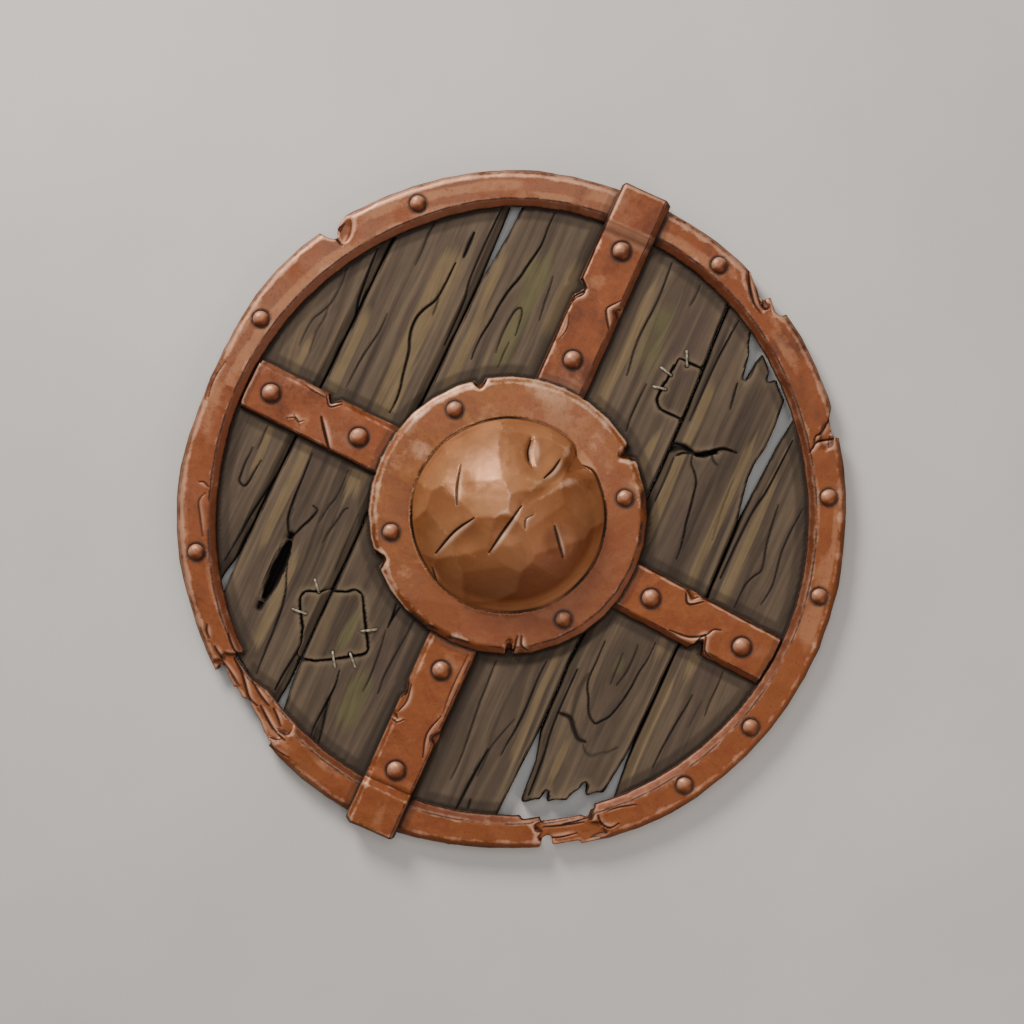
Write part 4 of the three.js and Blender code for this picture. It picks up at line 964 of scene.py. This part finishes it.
boss = {
    "faceSize": 1.05,       # mm
    "cutReach": 2.0,
    "bevelFrom": 72.0,      # mm from the axis, where the flange's edge begins to turn down
    "edgeFrom": 74.0,
    "wallFrom": 79.0,
    "flangeRadius": 83.0,
    "domeRadius": 57.5,
    "domeHeight": 38.0,
    "flangeTop": 17.5,
    "warmSpan": 150.0,
    "blowSize": 24.0,
    "blowDepth": 1.7,
    "scaleDepth": 0.12,
    "scaleSize": 3.4,
    "edgeWander": 0.8,
    "streakSize": 15.0,
    "creaseWidth": 2.0,     # groove where the dome leaves the flange
    "creaseDepth": 0.8,
    "creaseBelow": 24.0,
    "pinchAngle": 61.0,     # degrees, where a blow has driven the dome's foot inwards
    "pinchReach": 6.5,      # degrees
    "pinchDepth": 6.0,      # mm
}

# Dents: x and y from the boss's axis, reach and depth in mm
domeDents = [
    (4, 38, 15, 3.5), (-17, -24, 13, 2), (3, -8, 11, 1.8),
    (34, -2, 12, 2), (-33, 5, 11, 1.5), (28, 44, 12, 2.6),
]

# Blade cuts over the dome and cracks in the flange: width, depth, lip, line
bossCuts = [
    (5.6, 2.2, 1.0, [(-5.5, 43.7), (-4.2, 37), (-1.6, 32.4), (1.8, 29.2)]),
    (2.0, 1.2, 1.0, [(14.8, 39.4), (13.4, 32), (10.6, 25.4)]),
    (1.6, 1.1, 0.4, [(-37, 12.3), (-34, 1), (-29.6, -9.9)]),
    (1.9, 1.3, 1.0, [(-17.2, -12.4), (-24.6, -24.7), (-29.6, -40.7)]),
    (2.0, 1.5, 1.0, [(5, 4.9), (1.5, -12), (-1.2, -27.2)]),
    (1.6, 1.2, 0.8, [(27.2, 2.4), (32, -3.5), (39.5, -12.4)]),
    (1.2, 0.8, 0.5, [(13.6, 3.7), (10.6, -1), (12.4, -6.2)]),
    (1.5, 1.0, 0.4, [(-28.3, -49.4), (-26, -52), (-22.4, -56)]),
    (1.5, 1.2, 0.6, [(34, -66), (35.4, -73), (36, -84)]),
    (1.4, 1.0, 0.8, [(36.5, -65), (38.6, -70), (43, -71.6)]),
]


def footRadius(flat):
    # Where the dome meets the flange, nearer the axis where it was struck
    angle = np.degrees(np.arctan2(flat[:, 1], flat[:, 0]))
    pinch = boss["pinchDepth"] * np.exp(-((angle - boss["pinchAngle"]) / boss["pinchReach"]) ** 2)
    return boss["domeRadius"] - pinch + 0.5 * noise(angle / 14, angle * 0, 69)


def roundDome(piece):
    # Takes the solid's flat facets off the dome and drives its foot in where it was struck
    points, normals = readMesh(piece)
    flat = points[:, :2] - bossMiddle
    radius = np.linalg.norm(flat, axis=1)
    ball = (boss["domeRadius"] ** 2 + boss["domeHeight"] ** 2) / (2 * boss["domeHeight"])
    middle = boss["flangeTop"] + boss["domeHeight"] - ball
    outwards = np.einsum("ij,ij->i", flat, normals[:, :2]) + (points[:, 2] - middle) * normals[:, 2]
    onDome = (outwards > 0.2 * ball) & (radius < boss["domeRadius"] + 0.4)
    onDome &= points[:, 2] > boss["flangeTop"] - 0.3
    stretched = radius * boss["domeRadius"] / footRadius(flat)
    height = middle + np.sqrt(np.maximum(ball ** 2 - stretched ** 2, 0))
    height = np.maximum(height, boss["flangeTop"])
    for x, y, reach, depth in domeDents:
        near = np.clip(1 - np.hypot(flat[:, 0] - x, flat[:, 1] - y) / reach, 0, 1)
        height -= depth * near * near * (3 - 2 * near) * (stretched < boss["domeRadius"] - 1)
    points[:, 2] = np.where(onDome, height, points[:, 2])
    writeMesh(piece, points)


def beatBoss(points, normals, flat, radius, foot, onFlange, outside):
    # Broad hammer marks, shallower on the flange and none along the crease, and an edge that wavers
    u, v = flat.T / boss["blowSize"]
    blows = (hammerMarks(u, v, 63) - 0.45) * boss["blowDepth"]
    blows = np.where(onFlange, 0.45 * blows, blows) * np.clip(np.abs(radius - foot) / 3, 0, 1)
    wander = boss["edgeWander"] * roughNoise(np.arctan2(flat[:, 1], flat[:, 0]) * 3.4, radius / 40, 67)
    rimSide = np.clip(1.4 - 1.6 * np.abs(normals[:, 2]), 0, 1) * (radius > boss["edgeFrom"])
    points += normals * (blows * outside + (wander - 0.3) * rimSide)[:, None]


def paintDomeLight(piece, normals, radius, foot, onFlange, shade):
    # Painted light on the dome: glints on blows that face the light, a paler side towards it and a warm rim
    # along the far edge; painted shadow over the far side of the dome and on blows turned from the light
    struck = evened(piece, readMesh(piece)[1], 1)[:, :2] @ litSide
    towards = normals[:, :2] @ litSide
    glint = np.where(onFlange, 0, struck - towards)
    edge = np.clip((radius / foot - 0.86) / 0.06, 0, 1)
    hidden = np.clip((-towards - 0.28) / 0.25, 0, 1) * (1 - edge)
    shadow = np.maximum(np.clip(-2.6 * glint, 0, 0.5), 0.34 * hidden) * ~onFlange
    writeMark(piece, "shade", np.maximum(0.62 * shade, shadow))
    paintedGlow = 0.27 + 2.4 * glint + 0.25 * towards + 0.5 * edge * np.clip(-towards - 0.1, 0, 1)
    writeMark(piece, "paintedGlow", np.where(onFlange, 0, np.clip(paintedGlow, 0, 0.7)))


def carveBoss(piece):
    roundDome(piece)
    turns = np.radians(np.arange(0, 361, 6))
    ring = np.column_stack([np.cos(turns), np.sin(turns)])
    seam = ring * footRadius(ring)[:, None] + bossMiddle - layoutShift
    refineNear(piece, [line for *_, line in bossCuts] + [seam.tolist()], boss["cutReach"])
    points, normals = readMesh(piece)
    flat = points[:, :2] - bossMiddle
    radius, foot = np.linalg.norm(flat, axis=1), footRadius(flat)
    onFlange = radius > boss["domeRadius"] + 1
    outside = np.where(onFlange, normals[:, 2] > 0.2,
                       np.einsum("ij,ij->i", flat, normals[:, :2]) + points[:, 2] * normals[:, 2] > 5)
    # The flange's bevel turned from the light gets painted shade, with a painted shade line along its arris
    lean = -(evened(piece, normals, 3)[:, :2] @ litSide)
    shade = np.clip((lean - 0.15) / 0.12, 0, 1) * onFlange * outside
    writeMark(piece, "bevel", np.clip((lean - 0.1) / 0.2, 0, 1) * (radius > boss["bevelFrom"]) * outside)
    crease = np.clip(1 - np.abs(radius - foot) / (boss["creaseWidth"] / 2), 0, 1) * outside
    crease *= points[:, 2] < boss["creaseBelow"]
    beatBoss(points, normals, flat, radius, foot, onFlange, outside)
    tintMetal(piece, points, normals, shade, boss["warmSpan"])
    writeMesh(piece, points)
    paintDomeLight(piece, normals, radius, foot, onFlange, shade)
    # Rubbed streaks on the flange, paler towards the top as painted light
    u, v = flat.T / boss["streakSize"]
    rubbed = 0.2 + 0.45 * noise(u, v, 77) + 0.14 * (flat @ upSide) / boss["flangeRadius"]
    writeMark(piece, "streak", np.clip(np.where(onFlange, rubbed, 0.2), 0, 1))
    u, v = flat.T / boss["scaleSize"]
    points += normals * (boss["scaleDepth"] * roughNoise(u, v, 65) * outside)[:, None]
    points[:, 2] -= boss["creaseDepth"] * crease
    # The painted shade line in the crease is broken here and there
    turn = np.arctan2(flat[:, 1], flat[:, 0])
    cut = np.clip(crease * 2, 0, 1) * np.clip(0.75 + 0.6 * noise(turn * 3, radius / 300, 75), 0, 1)
    cut = np.maximum(cut, darkEdges(normals) * (radius > boss["wallFrom"]))
    bright = np.zeros(len(points))
    carveLines(points, normals, outside, bossCuts, cut, bright, 0.45)
    points[:, 2] = np.minimum(points[:, 2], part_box("boss")[1].z / mm)
    writeMesh(piece, points)
    writeMark(piece, "cut", cut)
    writeMark(piece, "bright", np.clip(bright, 0, 1))
    # Painted shade round every rivet
    writeMark(piece, "paintedShadow", rivetRings(points, hammering["ringWidth"]) * outside)


bossPiece = copyOfNode("boss", "boss_hammered")
remesh(bossPiece, boss["faceSize"] * (1), 1)
carveBoss(bossPiece)
finishPiece(bossPiece, bossCopper, "boss")
print("boss beaten out")


# Grip: a bar of ash worn round by the hand

grip = {
    "faceSize": 1.2,        # mm
    "rounding": 5,          # passes that take the edges off
    "turn": 32.2,           # degrees from the boards' cross direction, along the bar
    "grainStart": 300.0,    # mm along the pattern, clear of the boards' own grain
    "wearReach": 0.8,       # mm
}

gripPiece = copyOfNode("grip", "grip_worn")
remesh(gripPiece, grip["faceSize"], grip["rounding"])
gripPoints, gripNormals = readMesh(gripPiece)
gripTurn = math.radians(grip["turn"])
gripFlat = gripPoints[:, :2] - bossMiddle
gripAlong = gripFlat @ np.array([math.cos(gripTurn), math.sin(gripTurn)])
gripAcross = gripFlat @ np.array([-math.sin(gripTurn), math.cos(gripTurn)])
writeFlow(gripPiece, gripAcross + grip["grainStart"], gripAlong, gripPoints[:, 2])
gripProud = proudness(gripPiece, gripPoints, gripNormals, 12)
writeMark(gripPiece, "edgeWear", np.clip(gripProud / grip["wearReach"], 0, 0.6))
writeMark(gripPiece, "hollow", np.clip(-gripProud / grip["wearReach"], 0, 0.7))
finishPiece(gripPiece, gripAsh, "grip")
print("grip worn")


# Rivets: one peened rivet, then a copy with its own mesh at every place

rivet = {
    "shank": 2.6, "tail": 4.0, "tailDepth": 1.5,   # mm
    "rise": 0.62,                                  # of the head's radius
    "dent": 0.3, "dentSize": 2.6,                  # mm
    "sides": 20,
    "steps": [(0.0, 1.0), (0.26, 0.99), (0.55, 0.88), (0.8, 0.68), (0.94, 0.42), (1.0, 0.16)],
}


def pickFace(piece, upwards):
    # The top or the bottom face alone, ready to be drawn out
    bpy.ops.object.mode_set(mode="OBJECT")
    faces = piece.data.polygons
    piece.data.polygons.foreach_set("select", np.zeros(len(faces), bool))
    piece.data.edges.foreach_set("select", np.zeros(len(piece.data.edges), bool))
    piece.data.vertices.foreach_set("select", np.zeros(len(piece.data.vertices), bool))
    heights = [face.center.z * (1 if upwards else -1) for face in faces]
    faces[heights.index(max(heights))].select = True
    bpy.ops.object.mode_set(mode="EDIT")
    bpy.ops.mesh.select_mode(type="FACE")


def riseTo(height, widen):
    # Draws the picked face out and makes it wider or narrower
    bpy.ops.mesh.extrude_region_move(TRANSFORM_OT_translate={"value": (0, 0, height * mm)})
    bpy.ops.transform.resize(value=(widen, widen, 1))


def makeRivet(name, head, seat):
    bpy.ops.object.select_all(action="DESELECT")
    bottom = rivet["tailDepth"]
    bpy.ops.mesh.primitive_cylinder_add(vertices=rivet["sides"], radius=rivet["shank"] * mm,
                                        depth=(seat - bottom) * mm, location=(0, 0, (seat + bottom) / 2 * mm))
    piece = bpy.context.object
    piece.name = name
    selectOnly(piece)
    bpy.ops.object.transform_apply(location=True)
    pickFace(piece, True)
    riseTo(0, head / rivet["shank"])
    lastRise, lastWidth = 0.0, 1.0
    for rise, width in rivet["steps"][1:]:
        riseTo((rise - lastRise) * rivet["rise"] * head, width / lastWidth)
        lastRise, lastWidth = rise, width
    pickFace(piece, False)
    riseTo(-bottom, rivet["tail"] / rivet["shank"])
    bpy.ops.object.mode_set(mode="OBJECT")
    applyModifier(piece, "SUBSURF", levels=1, render_levels=1)
    return piece


rivetKinds = {}
for number, node in enumerate(rivetNodes):
    centre, head, top = rivetPlace(node)
    kind = node.split("_")[1]
    seat = top - rivet["rise"] * head
    if kind not in rivetKinds:
        rivetKinds[kind] = makeRivet("rivet_pattern_" + kind, head, seat)
    piece = bpy.data.objects.new(node + "_peened", rivetKinds[kind].data.copy())
    bpy.context.scene.collection.objects.link(piece)
    points, normals = readMesh(piece)
    heads = points[:, 2] > seat - 0.05
    # Every head was struck a little differently
    u, v = points[:, :2].T / rivet["dentSize"]
    dents = roughNoise(u + 9 * number, v, 71)
    points += normals * (rivet["dent"] * dents * heads)[:, None]
    height = (points[:, 2] - seat) / (rivet["rise"] * head)
    points[:, :2] = np.clip(points[:, :2], -head, head) + centre
    points[:, 2] = np.clip(points[:, 2], 0, top)
    writeMesh(piece, points)
    # Painted shade at the foot of each head and on its side turned from the light, a painted highlight on its
    # lit side and top, and the painted warm shade of its place
    tilt = normals[:, :2] @ litSide
    writeMark(piece, "cut", np.where(heads, np.clip(0.9 - height * 4, 0, 1), 0))
    writeMark(piece, "shade", np.where(heads, np.clip(-tilt * 1.2, 0, 0.6), 0))
    writeMark(piece, "bright", np.where(heads, np.clip(tilt * 1.4 + 0.28, 0, 0.75) * (height > 0.35), 0))
    warm = np.clip(0.6 - centre @ upSide / hammering["warmSpan"], 0, 1)
    writeMark(piece, "warm", np.full(len(points), warm))
    finishPiece(piece, fittingCopper, node)
for pattern in rivetKinds.values():
    bpy.data.objects.remove(pattern)
print("rivets peened")


# Staples: the bent wire of each solid, rounded and pinched

wire = {
    "faceSize": 0.3,        # mm
    "rounding": 4,
    "pinch": 0.12,          # mm in or out
    "pinchSize": 1.4,
}
for number, node in enumerate(sorted(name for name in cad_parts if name.startswith("staple_"))):
    staple = copyOfNode(node, node + "_wire")
    remesh(staple, wire["faceSize"], wire["rounding"])
    points, normals = readMesh(staple)
    pinches = roughNoise(points[:, 0] / wire["pinchSize"], points[:, 1] / wire["pinchSize"], 81 + number)
    points += normals * (wire["pinch"] * pinches)[:, None]
    writeMesh(staple, points)
    writeMark(staple, "hollow", np.clip(-proudness(staple, points, normals, 8) / 0.3, 0, 1))
    finishPiece(staple, staplesIron, node)
print("staples bent")


# Floor, light and camera

def paleFloor():
    # Plaster slab: chalky, with the faintest mottling
    material, tree, shader = newMaterial("pale_plaster")
    place = addNode(tree, "ShaderNodeTexCoord", "Object")
    cloud = addNode(tree, "ShaderNodeTexNoise", "Fac", {"Vector": place, "Scale": 5.0, "Detail": 4.0})
    colour = addNode(tree, "ShaderNodeValToRGB", 0, {"Fac": cloud}, [(0.3, "#c9c7c3"), (0.7, "#d3d1cd")])
    tree.links.new(colour, shader.inputs["Base Color"])
    shader.inputs["Roughness"].default_value = 0.9
    return material


bpy.ops.object.select_all(action="DESELECT")
bpy.ops.mesh.primitive_plane_add(size=8, location=(0, 0, 0))
floor = bpy.context.object
floor.name = "floor"
floor.data.materials.append(paleFloor())

viewTurn = math.radians(24)     # the boards lean by this much in the picture
viewMiddle = Vector((-1.76, 0.67, 14)) * mm
viewWidth = 606 * mm
lens, sensorWidth = 85.0, 36.0     # mm
cameraData = bpy.data.cameras.new("camera")
cameraData.lens = lens
cameraData.sensor_width = sensorWidth
camera = bpy.data.objects.new("camera", cameraData)
bpy.context.scene.collection.objects.link(camera)
camera.location = viewMiddle + Vector((0, 0, viewWidth * lens / sensorWidth))
camera.rotation_euler = (0, 0, viewTurn)
bpy.context.scene.camera = camera


def addLight(name, right, up, height, size, power, colour):
    # Placed as seen in the picture: right, up and towards the viewer, in metres
    data = bpy.data.lights.new(name, "AREA")
    data.shape = "DISK"
    data.size = size
    data.energy = power
    data.color = linear(colour)[:3]
    light = bpy.data.objects.new(name, data)
    bpy.context.scene.collection.objects.link(light)
    light.location = (right * math.cos(viewTurn) - up * math.sin(viewTurn),
                      right * math.sin(viewTurn) + up * math.cos(viewTurn), height)
    light.rotation_euler = (-light.location).to_track_quat("-Z", "Y").to_euler()


addLight("key", -0.62, 1.15, 0.9, 0.6, 27, "#fff4ec")
addLight("fill", 0.9, -0.9, 0.9, 1.2, 7, "#ffe6d2")
addLight("top", 0.1, 0.3, 2.2, 1.6, 14, "#ffffff")
world = bpy.data.worlds.new("studio")
bpy.context.scene.world = world
world.use_nodes = True
world.node_tree.nodes["Background"].inputs["Color"].default_value = linear("#c8ccd2")
world.node_tree.nodes["Background"].inputs["Strength"].default_value = 0.35
print("stage set")
